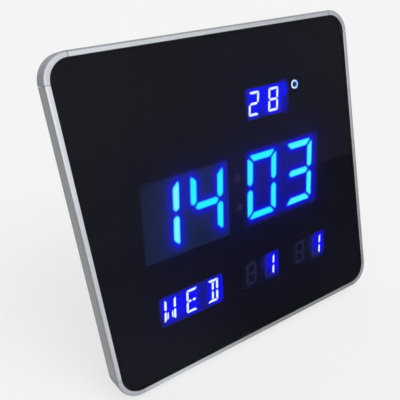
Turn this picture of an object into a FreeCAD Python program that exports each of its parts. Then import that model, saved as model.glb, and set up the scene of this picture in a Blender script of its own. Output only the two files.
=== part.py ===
import FreeCAD, Part
import math
import os
import re
import Sketcher
from FreeCAD import Vector

# Digital LED wall and desk clock: a silver frame of four rails and four corner
# pieces round a smoked lens, LED digit modules on one board behind it, a black
# rear cover and a fold-out leg. All sizes are in millimetres.
# Every piece is drawn in the upright frame of the clock: X to the right seen
# from the front, Y from the glass towards the back, Z up from the bottom edge.
# The desk placement then leans the whole clock back onto its leg.

doc = FreeCAD.newDocument("led_clock")
sheet = doc.addObject("Spreadsheet::Sheet", "sizes")

DRIVING_SIZES = [
    # Frame of rails and corner pieces
    ("frame_width", 284.0, "overall width over the side rails"),
    ("frame_height", 272.0, "overall height over the top and bottom rails"),
    ("bezel", 4.4, "width of the frame seen from the front"),
    ("frame_lip", 0.6, "how far the frame stands in front of the glass"),
    ("side_depth", 16.0, "how far the frame reaches behind the glass"),
    ("frame_wall", 1.6, "side wall of a rail"),
    ("frame_round", 1.8, "radius of the outer front edge"),
    ("inner_bevel", 0.2, "bevel of the inner front edge"),
    ("corner_radius", 20.4, "outer radius of a corner piece"),
    ("groove_inset", 2.0, "from the side of the frame to the bottom of the lens groove"),
    ("groove_play", 0.2, "play of the lens in its groove, front to back"),
    ("rib_thick", 1.2, "ribs inside a rail"),
    ("rib_reach", 3.4, "from the side of the frame to the edge of the rear rib"),
    ("channel_width", 7.0, "channel of a rail that takes the corner tongues"),
    ("rail_seam", 0.35, "open joint between a rail and a corner piece"),
    ("tongue_length", 14.0, "how far a corner tongue reaches into its rail"),
    ("tongue_play", 0.15, "play of a tongue on each side"),
    ("corner_boss_radius", 4.0, "screw boss in each corner piece"),
    ("corner_boss_edge", 7.4, "from the outer arc of a corner to the middle of its boss"),
    # Lens and mask
    ("lens_thick", 3.0, "smoked acrylic lens"),
    ("lens_inset", 2.4, "from the side of the frame to the edge of the lens"),
    ("film_thick", 0.2, "diffusing film between the lens and the mask"),
    ("mask_thick", 1.4, "black mask behind the film"),
    ("mask_inset", 5.2, "from the side of the frame to the edge of the film and the mask"),
    # Display modules
    ("module_depth", 10.0, "depth of a digit module"),
    ("module_rim", 1.5, "edge of a module hidden behind the mask"),
    ("segment_depth", 2.0, "depth of the light diffuser in a segment"),
    ("big_digit_height", 56.8, "hours and minutes digits"),
    ("big_digit_width", 33.0, "hours and minutes digits"),
    ("big_digit_pitch", 43.0, "hours and minutes digits"),
    ("big_stroke", 6.5, "width of a segment"),
    ("big_gap", 1.0, "dark line between segments"),
    ("big_bevel", 3.0, "bevel of the outer corners of a digit"),
    ("big_window_width", 83.0, "window in the mask"),
    ("big_window_height", 64.5, "window in the mask"),
    ("window_drop", 1.9, "window centre below the digits"),
    ("window_side", 1.7, "window centre to the right of the digits"),
    ("small_digit_height", 20.3, "temperature and date digits"),
    ("small_digit_width", 11.2, "temperature and date digits"),
    ("small_digit_pitch", 21.3, "temperature and date digits"),
    ("small_stroke", 2.3, "width of a segment"),
    ("small_gap", 0.35, "dark line between segments"),
    ("small_bevel", 0.9, "bevel of the outer corners of a digit"),
    ("small_margin", 11.0, "window beside the outer digits"),
    ("small_window_height", 27.0, "window in the mask"),
    ("spoke_width", 0.45, "slanted bars of a letter, in strokes"),
    ("spoke_rise", 1.5, "pointed end of a slanted bar, in strokes"),
    ("digit_slant", 9.7, "slant of the digits, degrees"),
    ("window_slant", 7.6, "slant of the module sides, degrees"),
    ("window_corner", 2.0, "corner radius of the windows"),
    ("hours_right", -53.1, "hours module from the centre of the panel"),
    ("minutes_right", 48.3, "minutes module from the centre of the panel"),
    ("temperature_right", 40.3, "temperature module from the centre of the panel"),
    ("temperature_up", 70.6, "temperature module from the centre of the panel"),
    ("week_right", -61.8, "weekday module from the centre of the panel"),
    ("month_right", 12.5, "month module from the centre of the panel"),
    ("day_right", 70.9, "day module from the centre of the panel"),
    ("date_down", 77.3, "lower row below the centre of the panel"),
    ("ring_right", 76.0, "degree ring from the centre of the panel"),
    ("ring_up", 78.8, "degree ring from the centre of the panel"),
    ("ring_outer", 3.9, "outer radius of the degree ring"),
    ("ring_inner", 2.5, "inner radius of the degree ring"),
    ("colon_up", 12.8, "colon lamps above and below the centre"),
    ("colon_slant", 4.58, "slant of the pair of colon lamps, degrees"),
    ("colon_radius", 3.0, "radius of a colon lamp"),
    ("lamp_play", 0.3, "round a lamp in its hole of the mask"),
    # Circuit board
    ("board_thick", 1.6, "display board"),
    ("board_play", 1.4, "from the rear cover walls to the board"),
    ("board_corner", 18.0, "corner radius of the board"),
    ("notch_width", 36.0, "corner notch of the board round the inlet"),
    ("notch_height", 42.0, "corner notch of the board round the inlet"),
    # Rear cover
    ("back_room", 6.8, "from the board to the rear wall"),
    ("cover_wall", 2.0, "wall of the rear cover"),
    ("plate_thick", 2.4, "flange of the rear cover inside the frame"),
    ("plate_play", 0.4, "round the flange inside the frame walls"),
    ("box_inset", 8.0, "from the side of the frame to the raised box"),
    ("box_corner", 22.0, "corner radius of the raised box"),
    ("box_round", 2.0, "rear edge of the raised box"),
    ("boss_radius", 3.4, "board boss in the rear cover"),
    ("boss_side", 24.0, "board bosses from the sides of the frame"),
    ("boss_end", 40.0, "board bosses from the top and bottom of the frame"),
    ("screw_radius", 1.2, "shank of the screws"),
    ("screw_play", 0.05, "play of a screw in its hole"),
    ("screw_head_radius", 2.4, "head of the screws"),
    ("screw_head_height", 1.7, "head of the screws"),
    ("screw_bite", 6.0, "depth of a screw's hole in its boss"),
    ("screw_spare", 0.5, "hole left beyond the tip of a screw"),
    ("screw_point", 0.6, "bevel at the tip of a screw"),
    ("screw_dome", 0.95, "straight side of a screw's head"),
    ("screw_crown", 1.7, "radius of the flat top of a screw's head"),
    ("recess_reach", 1.25, "from the middle of a cross recess to the end of its arms"),
    ("recess_half", 0.32, "half the width of the arms of a cross recess"),
    ("cross_recess", 0.9, "depth of the cross recess in a screw's head"),
    ("vent_width", 2.0, "vent slot"),
    ("vent_height", 26.0, "vent slot"),
    ("vent_pitch", 6.0, "vent slots"),
    ("vent_count", 9.0, "vent slots"),
    ("vent_drop", 50.0, "upper end of the vent slots below the top of the frame"),
    ("keyhole_right", 62.0, "wall keyholes from the centre"),
    ("keyhole_drop", 44.0, "head hole of a keyhole below the top of the frame"),
    ("keyhole_head", 4.8, "radius of the head hole"),
    ("keyhole_slot", 2.4, "half width of the slot"),
    ("keyhole_rise", 10.0, "from the head hole to the top of the slot"),
    ("keyhole_pocket", 5.6, "depth of the pocket behind a keyhole"),
    ("keyhole_flare", 1.2, "pocket wider than the keyhole behind the rear wall"),
    # Fold-out leg
    ("lean", 17.04, "the clock leans back by this angle, degrees"),
    ("stand_angle", 32.0, "opening angle of the leg, degrees"),
    ("hinge_height", 150.0, "hinge axis above the bottom edge of the frame"),
    ("leg_thick", 4.8, "leg"),
    ("leg_play", 0.2, "leg below the rear face when folded"),
    ("leg_top_width", 40.0, "leg at the hinge"),
    ("leg_foot_width", 58.0, "leg at the foot"),
    ("leg_rib", 3.0, "edge ribs of the leg"),
    ("leg_web", 2.0, "web between the ribs"),
    ("leg_head", 14.0, "from the hinge axis to the hollow of the leg"),
    ("leg_toe", 6.0, "from the hollow of the leg to the shoe"),
    ("cross_rib", 2.0, "cross ribs of the leg"),
    ("cross_rib_count", 3.0, "cross ribs of the leg"),
    ("recess_play", 0.6, "recess wider than the leg on each side"),
    ("recess_floor", 1.8, "wall under the recess"),
    ("recess_wall", 3.5, "side walls of the recess"),
    ("heel_half", 1.2, "half thickness of the stop heel"),
    ("heel_play", 0.1, "heel to the recess floor when open"),
    ("pin_radius", 1.25, "hinge pin"),
    ("pin_play", 0.05, "running play round the hinge pin"),
    ("pad_height", 7.0, "rubber shoe on the leg"),
    ("pad_wall", 1.2, "rubber on each side of the leg tongue"),
    ("pad_socket", 4.0, "depth of the tongue in the shoe"),
    ("foot_thin", 1.2, "rubber foot at its rear edge"),
    ("foot_width", 30.0, "rubber foot along the rail"),
    ("foot_front", 6.5, "front edge of a foot behind the glass"),
    ("foot_back", 0.5, "from the rear edge of the frame to a foot"),
    ("foot_side", 38.0, "feet from the sides of the frame"),
    ("bumper_radius", 5.0, "rubber bumper on the rear face"),
    ("bumper_thick", 2.0, "rubber bumper on the rear face"),
    ("bumper_edge", 0.7, "bevel of a bumper"),
    ("bumper_side", 26.0, "bumpers from the sides of the frame"),
    ("bumper_up", 22.0, "bumpers above the bottom edge"),
    # Controls
    ("button_radius", 3.2, "button cap"),
    ("button_flange", 4.2, "flange that keeps the cap in"),
    ("button_flange_thick", 1.2, "flange that keeps the cap in"),
    ("button_proud", 1.4, "cap stands out of the rear face"),
    ("button_play", 0.3, "round a cap in its hole"),
    ("button_edge", 0.5, "bevel of a cap"),
    ("button_dish", 0.3, "hollow in the top of a cap"),
    ("button_count", 4.0, "buttons"),
    ("button_travel", 0.5, "stroke of a cap"),
    ("button_slack", 0.1, "left between cap and switch at full stroke"),
    ("button_side", 30.0, "row of buttons from the side of the frame"),
    ("button_rise", 16.0, "lowest button above the centre of the panel"),
    ("button_pitch", 20.0, "buttons"),
    ("switch_side", 6.0, "tact switch"),
    ("switch_height", 3.6, "tact switch body"),
    ("switch_stem", 1.7, "radius of the switch stem"),
    # Power inlet
    ("jack_side", 34.0, "power inlet from the side of the frame"),
    ("jack_up", 34.0, "power inlet above the bottom edge"),
    ("jack_barrel", 4.0, "barrel radius"),
    ("jack_flange", 5.5, "flange radius"),
    ("jack_flange_thick", 1.5, "flange outside the rear face"),
    ("jack_bore", 2.8, "bore radius"),
    ("jack_bore_depth", 9.5, "bore depth"),
    ("jack_length", 13.0, "barrel behind the flange"),
    ("jack_edge", 0.4, "bevel of the flange"),
    ("jack_pin", 1.05, "centre pin radius"),
    ("jack_pin_tip", 0.5, "bevel at the tip of the centre pin"),
    ("jack_nut", 5.6, "nut, half across corners"),
    ("jack_nut_thick", 2.0, "nut"),
    ("jack_play", 0.1, "round the barrel in the rear cover"),
    # Backup cell
    ("cell_radius", 10.0, "coin cell"),
    ("cell_thick", 3.2, "coin cell"),
    ("cell_step", 1.2, "rim of the coin cell round its smaller pole"),
    ("cell_lip", 0.3, "step of the coin cell's smaller pole"),
    ("cell_edge", 0.2, "bevel of the coin cell's rear edge"),
    ("holder_floor", 1.2, "floor of the cell holder"),
    ("holder_wall", 1.5, "wall of the cell holder"),
    ("holder_height", 4.9, "cell holder on the board"),
    ("cell_play", 0.3, "round the cell in its holder"),
    ("cell_side", 24.0, "cell from the side of the frame"),
    ("cell_down", 24.0, "cell below the centre of the panel"),
    ("hatch_half", 12.5, "half the opening over the cell"),
    ("door_half", 13.6, "half the width of the battery door"),
    ("door_tongue", 1.5, "tongue along each side of the door"),
    ("door_tongue_thick", 1.2, "tongue along each side of the door"),
    ("door_thick", 2.2, "battery door"),
    ("door_play", 0.15, "round the door in its slot"),
    ("door_length", 30.0, "battery door along its slide"),
    ("sill", 2.0, "material under and beside the door slot"),
    ("grip_pitch", 2.4, "grip ridges of the door"),
    ("grip_count", 4.0, "grip ridges of the door"),
    ("grip_width", 1.0, "a grip ridge"),
    ("grip_length", 12.0, "a grip ridge"),
    ("grip_height", 0.5, "a grip ridge above the door"),
    # Parts on the board
    ("buzzer_radius", 6.0, "buzzer"),
    ("buzzer_gap", 0.4, "between the buzzer and the rear wall"),
    ("buzzer_right", -72.0, "buzzer from the centre"),
    ("buzzer_rise", 54.0, "buzzer above the centre of the panel"),
    ("buzzer_bore", 1.0, "hole in the buzzer's front"),
    ("buzzer_edge", 0.5, "bevel of the buzzer"),
    ("sound_hole", 1.0, "radius of the sound holes"),
    ("sound_circle", 3.3, "circle of sound holes round the middle one"),
    ("sound_count", 6.0, "sound holes on the circle"),
    ("controller_long", 18.0, "microcontroller case"),
    ("controller_short", 7.6, "microcontroller case"),
    ("controller_tall", 2.5, "microcontroller above the board"),
    ("controller_pins", 14.0, "legs along one side of the microcontroller"),
    ("controller_right", -60.0, "microcontroller from the centre of the panel"),
    ("controller_down", 52.0, "microcontroller below the centre of the panel"),
    ("driver_long", 10.0, "driver chip case"),
    ("driver_short", 4.0, "driver chip case"),
    ("driver_tall", 1.8, "driver chip above the board"),
    ("driver_pins", 8.0, "legs along one side of a driver chip"),
    ("driver_right", 62.0, "driver chips from the centre of the panel"),
    ("driver_rise", 14.0, "upper driver chip above the centre of the panel"),
    ("driver_down", 16.0, "lower driver chips below the centre of the panel"),
    ("chip_lift", 0.2, "a chip's case above the board"),
    ("pin_width", 0.6, "a chip's leg"),
    ("pin_thick", 0.6, "a chip's leg"),
    ("pin_reach", 1.2, "a chip's leg beside its case"),
    ("pin_root", 0.4, "a chip's leg inside its case"),
    ("pin_margin", 0.75, "from the end of a chip's case to its first leg"),
    ("crystal_long", 11.0, "crystal can"),
    ("crystal_wide", 4.5, "crystal can"),
    ("crystal_tall", 3.5, "crystal can"),
    ("crystal_round", 2.2, "rounded ends of the crystal can"),
    ("crystal_gap", 6.0, "between the crystal and the microcontroller"),
    ("can_radius", 3.15, "capacitor can"),
    ("can_gap", 0.6, "between a capacitor can and the rear wall"),
    ("can_crimp", 0.3, "groove round a capacitor can"),
    ("can_base", 1.5, "groove of a capacitor can above the board"),
    ("can_right", 80.0, "capacitors from the centre of the panel"),
    ("can_pitch", 14.0, "between the two capacitors"),
    ("sensor_radius", 1.7, "bead of the temperature sensor"),
    ("sensor_lead", 0.5, "stem of the temperature sensor"),
    ("sensor_gap", 0.6, "between the temperature sensor and the rear wall"),
    ("sensor_bead", 2.8, "bead of the temperature sensor"),
    # Making of the model
    ("overlap", 0.5, "how far a feature runs into the wall that it joins"),
    ("run_out", 1.0, "how far a cut runs past an open side"),
]

for row, (alias, number, note) in enumerate(DRIVING_SIZES, 1):
    sheet.set(f"A{row}", alias)
    sheet.set(f"B{row}", str(number))
    sheet.set(f"C{row}", note)
    sheet.setAlias(f"B{row}", alias)
doc.recompute()

# Lengths worked out from the sheet. A name here may use the ones above it.
WORKED_OUT = {
    "half_width": "frame_width / 2",
    "corner_boss_out": "corner_radius - corner_boss_edge",
    "panel_up": "frame_height / 2",
    # Depths, counted back from the front of the glass
    "groove_back": "lens_thick + groove_play",
    "channel_front": "groove_back + rib_thick",
    "channel_back": "channel_front + channel_width",
    "cover_seat": "channel_back + rib_thick",
    "plate_back": "cover_seat + plate_thick",
    "film_back": "lens_thick + film_thick",
    "digit_plane": "film_back + mask_thick",
    "board_front": "digit_plane + module_depth",
    "board_back": "board_front + board_thick",
    "cover_inside": "board_back + back_room",
    "cover_depth": "cover_inside + cover_wall",
    # Rear cover outlines
    "plate_inset": "frame_wall + plate_play",
    "box_right": "half_width - box_inset",
    "cavity_inset": "box_inset + cover_wall",
    "board_inset": "cavity_inset + board_play",
    # Heights above the board that the rear wall limits
    "buzzer_height": "back_room - buzzer_gap",
    "can_tall": "back_room - can_gap",
    "sensor_stem": "back_room - sensor_gap - sensor_bead",
    # Places counted from the sides of the frame and the centre of the panel
    "boss_right": "half_width - boss_side",
    "boss_up": "panel_up - boss_end",
    "vent_base": "frame_height - vent_drop - vent_height",
    "keyhole_base": "frame_height - keyhole_drop",
    "foot_right": "half_width - foot_side",
    "bumper_right": "half_width - bumper_side",
    "button_right": "button_side - half_width",
    "button_base": "panel_up + button_rise",
    "jack_right": "half_width - jack_side",
    "cell_right": "half_width - cell_side",
    "cell_up": "panel_up - cell_down",
    "buzzer_up": "panel_up + buzzer_rise",
    "controller_up": "panel_up - controller_down",
    # Leg
    "hinge_back": "cover_depth - leg_play - leg_thick / 2",
    "recess_depth": "leg_play + leg_thick + leg_play",
    "recess_back": "cover_depth - recess_depth",
    "floor_gap": "hinge_back - recess_back",
    "heel_length": "(floor_gap - heel_play - heel_half * cos(stand_angle)) / sin(stand_angle)",
    "tray_front": "recess_back - recess_floor",
    "leg_rake": "stand_angle - lean",
    "desk_drop": "side_depth * sin(lean) + foot_thin",
    "hinge_rise": "hinge_height * cos(lean) - hinge_back * sin(lean) + desk_drop",
    "leg_reach": "hinge_rise / cos(leg_rake)",
    "leg_end": "leg_reach - pad_height",
    # Controls
    "switch_front": "board_back + switch_height",
    "button_seat": "cover_inside - button_flange_thick",
    "stem_end": "button_seat - button_travel - button_slack",
    # Display windows
    "big_block_width": "big_window_width + 2 * module_rim",
    "big_block_height": "big_window_height + 2 * module_rim",
    "pair_window_width": "small_digit_pitch + 2 * small_margin",
    "trio_window_width": "2 * small_digit_pitch + 2 * small_margin",
}

ALIASES = {alias for alias, number, note in DRIVING_SIZES}


def spell(text):
    """An expression in the worked-out names, spelled out in the sheet's own names."""
    def swap(match):
        word = match.group(0)
        if word in WORKED_OUT:
            return "(" + spell(WORKED_OUT[word]) + ")"
        return word
    return re.sub(r"[a-z_]+", swap, str(text))


def bind(text):
    """The same expression with every alias pointing at the sheet."""
    def point(match):
        word = match.group(0)
        return "sizes." + word if word in ALIASES else word
    return re.sub(r"[a-z_]+", point, spell(text))


def value(text):
    """The number that an expression gives."""
    return float(sheet.evalExpression(spell(text)))


# The clock on the desk: leaned back about X, lifted until its feet touch Z = 0
# and moved so that the middle of its depth lies at Y = 0.
PAD_BACK = "hinge_back * cos(lean) + hinge_height * sin(lean) + leg_reach * sin(leg_rake)"
PAD_EDGE = "leg_thick / 2 / cos(leg_rake)"
FRONT = "(frame_round - frame_lip) * cos(lean) + frame_round * sin(lean) - frame_round"
DESK_BACK = f"({PAD_BACK} + {PAD_EDGE} + {FRONT}) / 2"
desk = doc.addObject("App::LocalCoordinateSystem", "desk_placement")
desk.setExpression(
    "Placement",
    f"placement(vector(0; -{bind(DESK_BACK)}; {bind('desk_drop')}); rotationx(-{bind('lean')}))",
)
LEANED = "desk_placement.Placement"

sub_parts = []


def hand_over(label, thing, own=None):
    """Name a finished piece and set it on the desk, with a placement of its own inside."""
    thing.Label = label
    thing.setExpression("Placement", LEANED if own is None else f"{LEANED} * {own}")
    sub_parts.append(thing)
    return thing


def at(right, back, up, turn="rotationx(0)"):
    """A placement expression in the upright frame of the clock."""
    return f"placement(vector({bind(right)}; {bind(back)}; {bind(up)}); {turn})"


def new_body(name):
    return doc.addObject("PartDesign::Body", name)


def new_sketch(body, name, role, place):
    """A sketch on an origin plane, moved in the plane and along its normal by place."""
    sketch = body.newObject("Sketcher::SketchObject", name)
    plane = next(item for item in body.Origin.OriginFeatures if item.Role == role)
    sketch.AttachmentSupport = (plane, [""])
    sketch.MapMode = "FlatFace"
    across, along, normal = (bind(item) for item in place)
    offset = f"placement(vector({across}; {along}; {normal}); rotationx(0))"
    sketch.setExpression("AttachmentOffset", offset)
    return sketch


def hold(sketch, held):
    """Add the constraints of a sketch in one go and bind those that carry an expression."""
    sketch.addConstraint([constraint for constraint, text in held])
    for index, (constraint, text) in enumerate(held):
        if text is not None:
            sketch.setExpression(f"Constraints[{index}]", bind(text))


def distances(geometry, point, across, along):
    """The two bound distances that hold a point of a sketch."""
    return [
        (Sketcher.Constraint(kind, -1, 1, geometry, point, value(text)), text)
        for kind, text in (("DistanceX", across), ("DistanceY", along))
    ]


def outline(sketch, points):
    """A closed polygon, each corner held by two bound distances."""
    corners = [Vector(value(across), value(along), 0) for across, along in points]
    first = len(sketch.Geometry)
    count = len(points)
    sketch.addGeometry(
        [Part.LineSegment(corners[i], corners[(i + 1) % count]) for i in range(count)]
    )
    held = []
    for i, (across, along) in enumerate(points):
        following = first + (i + 1) % count
        held.append((Sketcher.Constraint("Coincident", first + i, 2, following, 1), None))
        held += distances(first + i, 1, across, along)
    return held


def circle(sketch, across, along, radius):
    """A circle held by its centre and radius."""
    centre = Vector(value(across), value(along), 0)
    index = sketch.addGeometry(Part.Circle(centre, Vector(0, 0, 1), value(radius)))
    return distances(index, 3, across, along) + [
        (Sketcher.Constraint("Radius", index, value(radius)), radius)
    ]


def rounded_box(sketch, inset, radius):
    """The outline of the frame, moved inwards by an inset and rounded at its corners."""
    sides = {
        "left": f"-(half_width - ({inset}))", "low": f"{inset}",
        "right": f"half_width - ({inset})", "high": f"frame_height - ({inset})",
    }
    left, low, right, high = (value(text) for text in sides.values())
    bend = value(radius)
    lines = [
        (left + bend, low, right - bend, low), (right, low + bend, right, high - bend),
        (right - bend, high, left + bend, high), (left, high - bend, left, low + bend),
    ]
    centres = [
        (right - bend, low + bend), (right - bend, high - bend),
        (left + bend, high - bend), (left + bend, low + bend),
    ]
    first = len(sketch.Geometry)
    for i, (x0, z0, x1, z1) in enumerate(lines):
        sketch.addGeometry(Part.LineSegment(Vector(x0, z0, 0), Vector(x1, z1, 0)))
        round_end = Part.Circle(Vector(*centres[i], 0), Vector(0, 0, 1), bend)
        start = math.radians(90 * i - 90)
        sketch.addGeometry(Part.ArcOfCircle(round_end, start, start + math.pi / 2))
    held = []
    for i, side in enumerate(("low", "right", "high", "left")):
        line = first + 2 * i
        following = first + (2 * i + 2) % 8
        held.append((Sketcher.Constraint("Tangent", line, 2, line + 1, 1), None))
        held.append((Sketcher.Constraint("Tangent", line + 1, 2, following, 1), None))
        held.append((Sketcher.Constraint("Vertical" if i % 2 else "Horizontal", line), None))
        kind = "DistanceX" if i % 2 else "DistanceY"
        text = sides[side]
        held.append((Sketcher.Constraint(kind, -1, 1, line, 1, value(text)), text))
        if i:
            held.append((Sketcher.Constraint("Equal", first + 1, line + 1), None))
    held.append((Sketcher.Constraint("Radius", first + 1, bend), radius))
    return held


def face_sketch(body, name, depth, outlines=(), circles=(), rounded=()):
    """A sketch parallel to the glass at a depth behind its front."""
    sketch = new_sketch(body, name, "XZ_Plane", ("0", "0", f"-({depth})"))
    held = []
    for inset, radius in rounded:
        held += rounded_box(sketch, inset, radius)
    for points in outlines:
        held += outline(sketch, points)
    for spot in circles:
        held += circle(sketch, *spot)
    hold(sketch, held)
    return sketch


def pad(body, name, front, back, outlines=(), circles=(), rounded=()):
    """Material between two depths behind the glass."""
    sketch = face_sketch(body, name + "_sketch", front, outlines, circles, rounded)
    feature = body.newObject("PartDesign::Pad", name)
    feature.Profile = sketch
    feature.Reversed = True
    feature.setExpression("Length", bind(f"({back}) - ({front})"))
    sketch.Visibility = False
    return feature


def pocket(body, name, front, back, outlines=(), circles=(), rounded=()):
    """Material taken away between two depths behind the glass, with the volume compared."""
    doc.recompute()
    before = body.Shape.Volume
    sketch = face_sketch(body, name + "_sketch", front, outlines, circles, rounded)
    feature = body.newObject("PartDesign::Pocket", name)
    feature.Profile = sketch
    feature.setExpression("Length", bind(f"({back}) - ({front})"))
    doc.recompute()
    if not body.Shape.Volume < before:
        raise RuntimeError(f"{name} takes nothing away")
    return feature


def extrude_across(body, name, role, start, length, points, place=("0", "0")):
    """A profile across the clock, padded along the normal of an origin plane."""
    sketch = new_sketch(body, name + "_sketch", role, (place[0], place[1], start))
    hold(sketch, outline(sketch, points))
    feature = body.newObject("PartDesign::Pad", name)
    feature.Profile = sketch
    feature.setExpression("Length", bind(length))
    return feature


def count_of(alias):
    """A size that counts copies, as a whole number."""
    return round(value(alias))


def repeat(body, name, original, axis, length, count):
    """A row of copies of a feature along an axis of its sketch."""
    row = body.newObject("PartDesign::LinearPattern", name)
    row.Originals = [original]
    row.Direction = (original.Profile[0], [axis])
    row.setExpression("Length", bind(length))
    row.setExpression("Occurrences", bind(count))
    body.Tip = row
    return row


def box_points(left, right, low, high):
    return [(left, low), (right, low), (right, high), (left, high)]


def slanted_box(right, up, width, height, slant="window_slant"):
    """A window outline whose sides lean with the digits."""
    lean_over = f"({height}) / 2 * tan({slant})"
    corners = []
    for side, level in ((-1, -1), (1, -1), (1, 1), (-1, 1)):
        across = f"{right} + {side} * ({width}) / 2 + {level} * {lean_over}"
        corners.append((across, f"{up} + {level} * ({height}) / 2"))
    return corners


def edges_where(shape, test):
    """Names of the edges of a shape that pass a test."""
    return [f"Edge{i}" for i, edge in enumerate(shape.Edges, 1) if test(edge)]


def runs_along(edge, axis):
    """True for a straight edge parallel to an axis."""
    if edge.Curve.TypeId != "Part::GeomLine":
        return False
    return abs(abs(edge.Curve.Direction.dot(axis)) - 1) < 1e-6


def dress(body, kind, name, size, test):
    """A fillet or chamfer on the edges of the body that pass a test."""
    doc.recompute()
    base = body.Tip
    names = edges_where(base.Shape, test)
    if not names:
        raise RuntimeError(f"{name} finds no edge")
    feature = body.newObject("PartDesign::" + kind, name)
    feature.Base = (base, names)
    feature.setExpression("Radius" if kind == "Fillet" else "Size", bind(size))
    return feature


def turned(name, points):
    """A piece turned about the Y axis: outline points are radius and depth."""
    body = new_body(name)
    sketch = new_sketch(body, name + "_sketch", "XY_Plane", ("0", "0", "0"))
    hold(sketch, outline(sketch, points))
    turn = body.newObject("PartDesign::Revolution", name + "_turn")
    turn.Profile = sketch
    turn.ReferenceAxis = (sketch, ["V_Axis"])
    turn.Angle = 360
    return body


def group(label, pieces):
    """Several pieces of one kind that share a node."""
    bundle = doc.addObject("Part::Compound", label)
    bundle.Links = pieces
    return hand_over(label, bundle)


# Frame rails: one section, drawn by distance in from the side and depth.
RAIL_SECTION = [
    ("0", "side_depth"),
    ("0", "-frame_lip"),
    ("bezel", "-frame_lip"),
    ("bezel", "0"),
    ("groove_inset", "0"),
    ("groove_inset", "groove_back"),
    ("bezel", "groove_back"),
    ("bezel", "channel_front"),
    ("frame_wall", "channel_front"),
    ("frame_wall", "channel_back"),
    ("rib_reach", "channel_back"),
    ("rib_reach", "cover_seat"),
    ("frame_wall", "cover_seat"),
    ("frame_wall", "side_depth"),
]
CORNER_SECTION = RAIL_SECTION[:7] + [("bezel", "cover_seat")] + RAIL_SECTION[12:]


def front_edges(body, test_outer, test_inner):
    """Round the outer front edge of a frame piece and bevel the inner one."""
    level = -value("frame_lip")

    def at_front(edge):
        return abs(edge.BoundBox.YMin - level) < 1e-4 and abs(edge.BoundBox.YMax - level) < 1e-4
    dress(
        body, "Fillet", "outer_round", "frame_round", lambda edge: at_front(edge) and test_outer(edge)
    )
    dress(
        body, "Chamfer", "inner_bevel_cut", "inner_bevel",
        lambda edge: at_front(edge) and test_inner(edge),
    )


def make_rail(label, upright, sign):
    """A rail between two corner pieces; sign is the side of the clock that it lies on."""
    body = new_body(label)
    if upright:
        points = [(f"{sign} * (half_width - ({inset}))", depth) for inset, depth in RAIL_SECTION]
        extrude_across(
            body, "rail", "XY_Plane", "corner_radius + rail_seam",
            "frame_height - 2 * (corner_radius + rail_seam)", points,
        )
        side = abs(value("half_width"))
        inner = side - value("bezel")
        long_way = Vector(0, 0, 1)
        front_edges(
            body,
            lambda edge: runs_along(edge, long_way) and abs(abs(edge.CenterOfMass.x) - side) < 1e-4,
            lambda edge: runs_along(edge, long_way) and abs(abs(edge.CenterOfMass.x) - inner) < 1e-4,
        )
    else:
        base = "0" if sign < 0 else "frame_height"
        points = [(depth, f"{base} + {-sign} * ({inset})") for inset, depth in RAIL_SECTION]
        extrude_across(
            body, "rail", "YZ_Plane", "-(half_width - corner_radius - rail_seam)",
            "frame_width - 2 * (corner_radius + rail_seam)", points,
        )
        side = value(base)
        inner = side - sign * value("bezel")
        long_way = Vector(1, 0, 0)
        front_edges(
            body,
            lambda edge: runs_along(edge, long_way) and abs(edge.CenterOfMass.z - side) < 1e-4,
            lambda edge: runs_along(edge, long_way) and abs(edge.CenterOfMass.z - inner) < 1e-4,
        )
    return hand_over(label, body)


make_rail("rail_top", False, 1)
make_rail("rail_bottom", False, -1)
make_rail("rail_left", True, -1)
make_rail("rail_right", True, 1)


def make_corner(label, across, upward):
    """A quarter-turn corner piece with a tongue for each rail and a boss for a cover screw."""
    body = new_body(label)
    centre_right = f"{across} * (half_width - corner_radius)"
    centre_up = "corner_radius" if upward < 0 else "frame_height - corner_radius"
    sketch = new_sketch(body, "section", "XY_Plane", (centre_right, "0", centre_up))
    section = [
        (f"{across} * (corner_radius - ({inset}))", depth) for inset, depth in CORNER_SECTION
    ]
    hold(sketch, outline(sketch, section))
    turn = body.newObject("PartDesign::Revolution", "quarter_turn")
    turn.Profile = sketch
    turn.ReferenceAxis = (sketch, ["V_Axis"])
    turn.Angle = 90
    doc.recompute()
    turned_up = turn.Shape.BoundBox.Center.z > value(centre_up)
    if turned_up != (upward > 0):
        turn.Reversed = True
    doc.recompute()
    edge_radius = value("corner_radius")
    inner_radius = value("corner_radius - bezel")

    def is_arc(edge, radius):
        return edge.Curve.TypeId == "Part::GeomCircle" and abs(edge.Curve.Radius - radius) < 1e-4
    front_edges(
        body, lambda edge: is_arc(edge, edge_radius), lambda edge: is_arc(edge, inner_radius)
    )
    tongue = [
        ("frame_wall + tongue_play", "channel_front + tongue_play"),
        ("bezel", "channel_front + tongue_play"),
        ("bezel", "channel_back - tongue_play"),
        ("frame_wall + tongue_play", "channel_back - tongue_play"),
    ]
    # The tongue along the top or bottom rail, then the one along the side rail.
    base = "0" if upward < 0 else "frame_height"
    start = centre_right if across < 0 else f"{centre_right} - tongue_length"
    extrude_across(
        body, "long_tongue", "YZ_Plane", start, "tongue_length",
        [(depth, f"{base} + {-upward} * ({inset})") for inset, depth in tongue],
    )
    start = centre_up if upward < 0 else f"{centre_up} - tongue_length"
    extrude_across(
        body, "side_tongue", "XY_Plane", start, "tongue_length",
        [(f"{across} * (half_width - ({inset}))", depth) for inset, depth in tongue],
    )
    boss = (
        f"{centre_right} + {across} * corner_boss_out * cos(45)",
        f"{centre_up} + {upward} * corner_boss_out * sin(45)",
    )
    pad(
        body, "boss", "digit_plane + groove_play", "cover_seat",
        circles=[(*boss, "corner_boss_radius")],
    )
    pocket(
        body, "boss_hole", "cover_seat - screw_bite", "cover_seat",
        circles=[(*boss, "screw_radius + screw_play")],
    )
    hand_over(label, body)
    return boss


corner_screws = [
    make_corner("corner_top_left", -1, 1),
    make_corner("corner_top_right", 1, 1),
    make_corner("corner_bottom_left", -1, -1),
    make_corner("corner_bottom_right", 1, -1),
]

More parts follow.
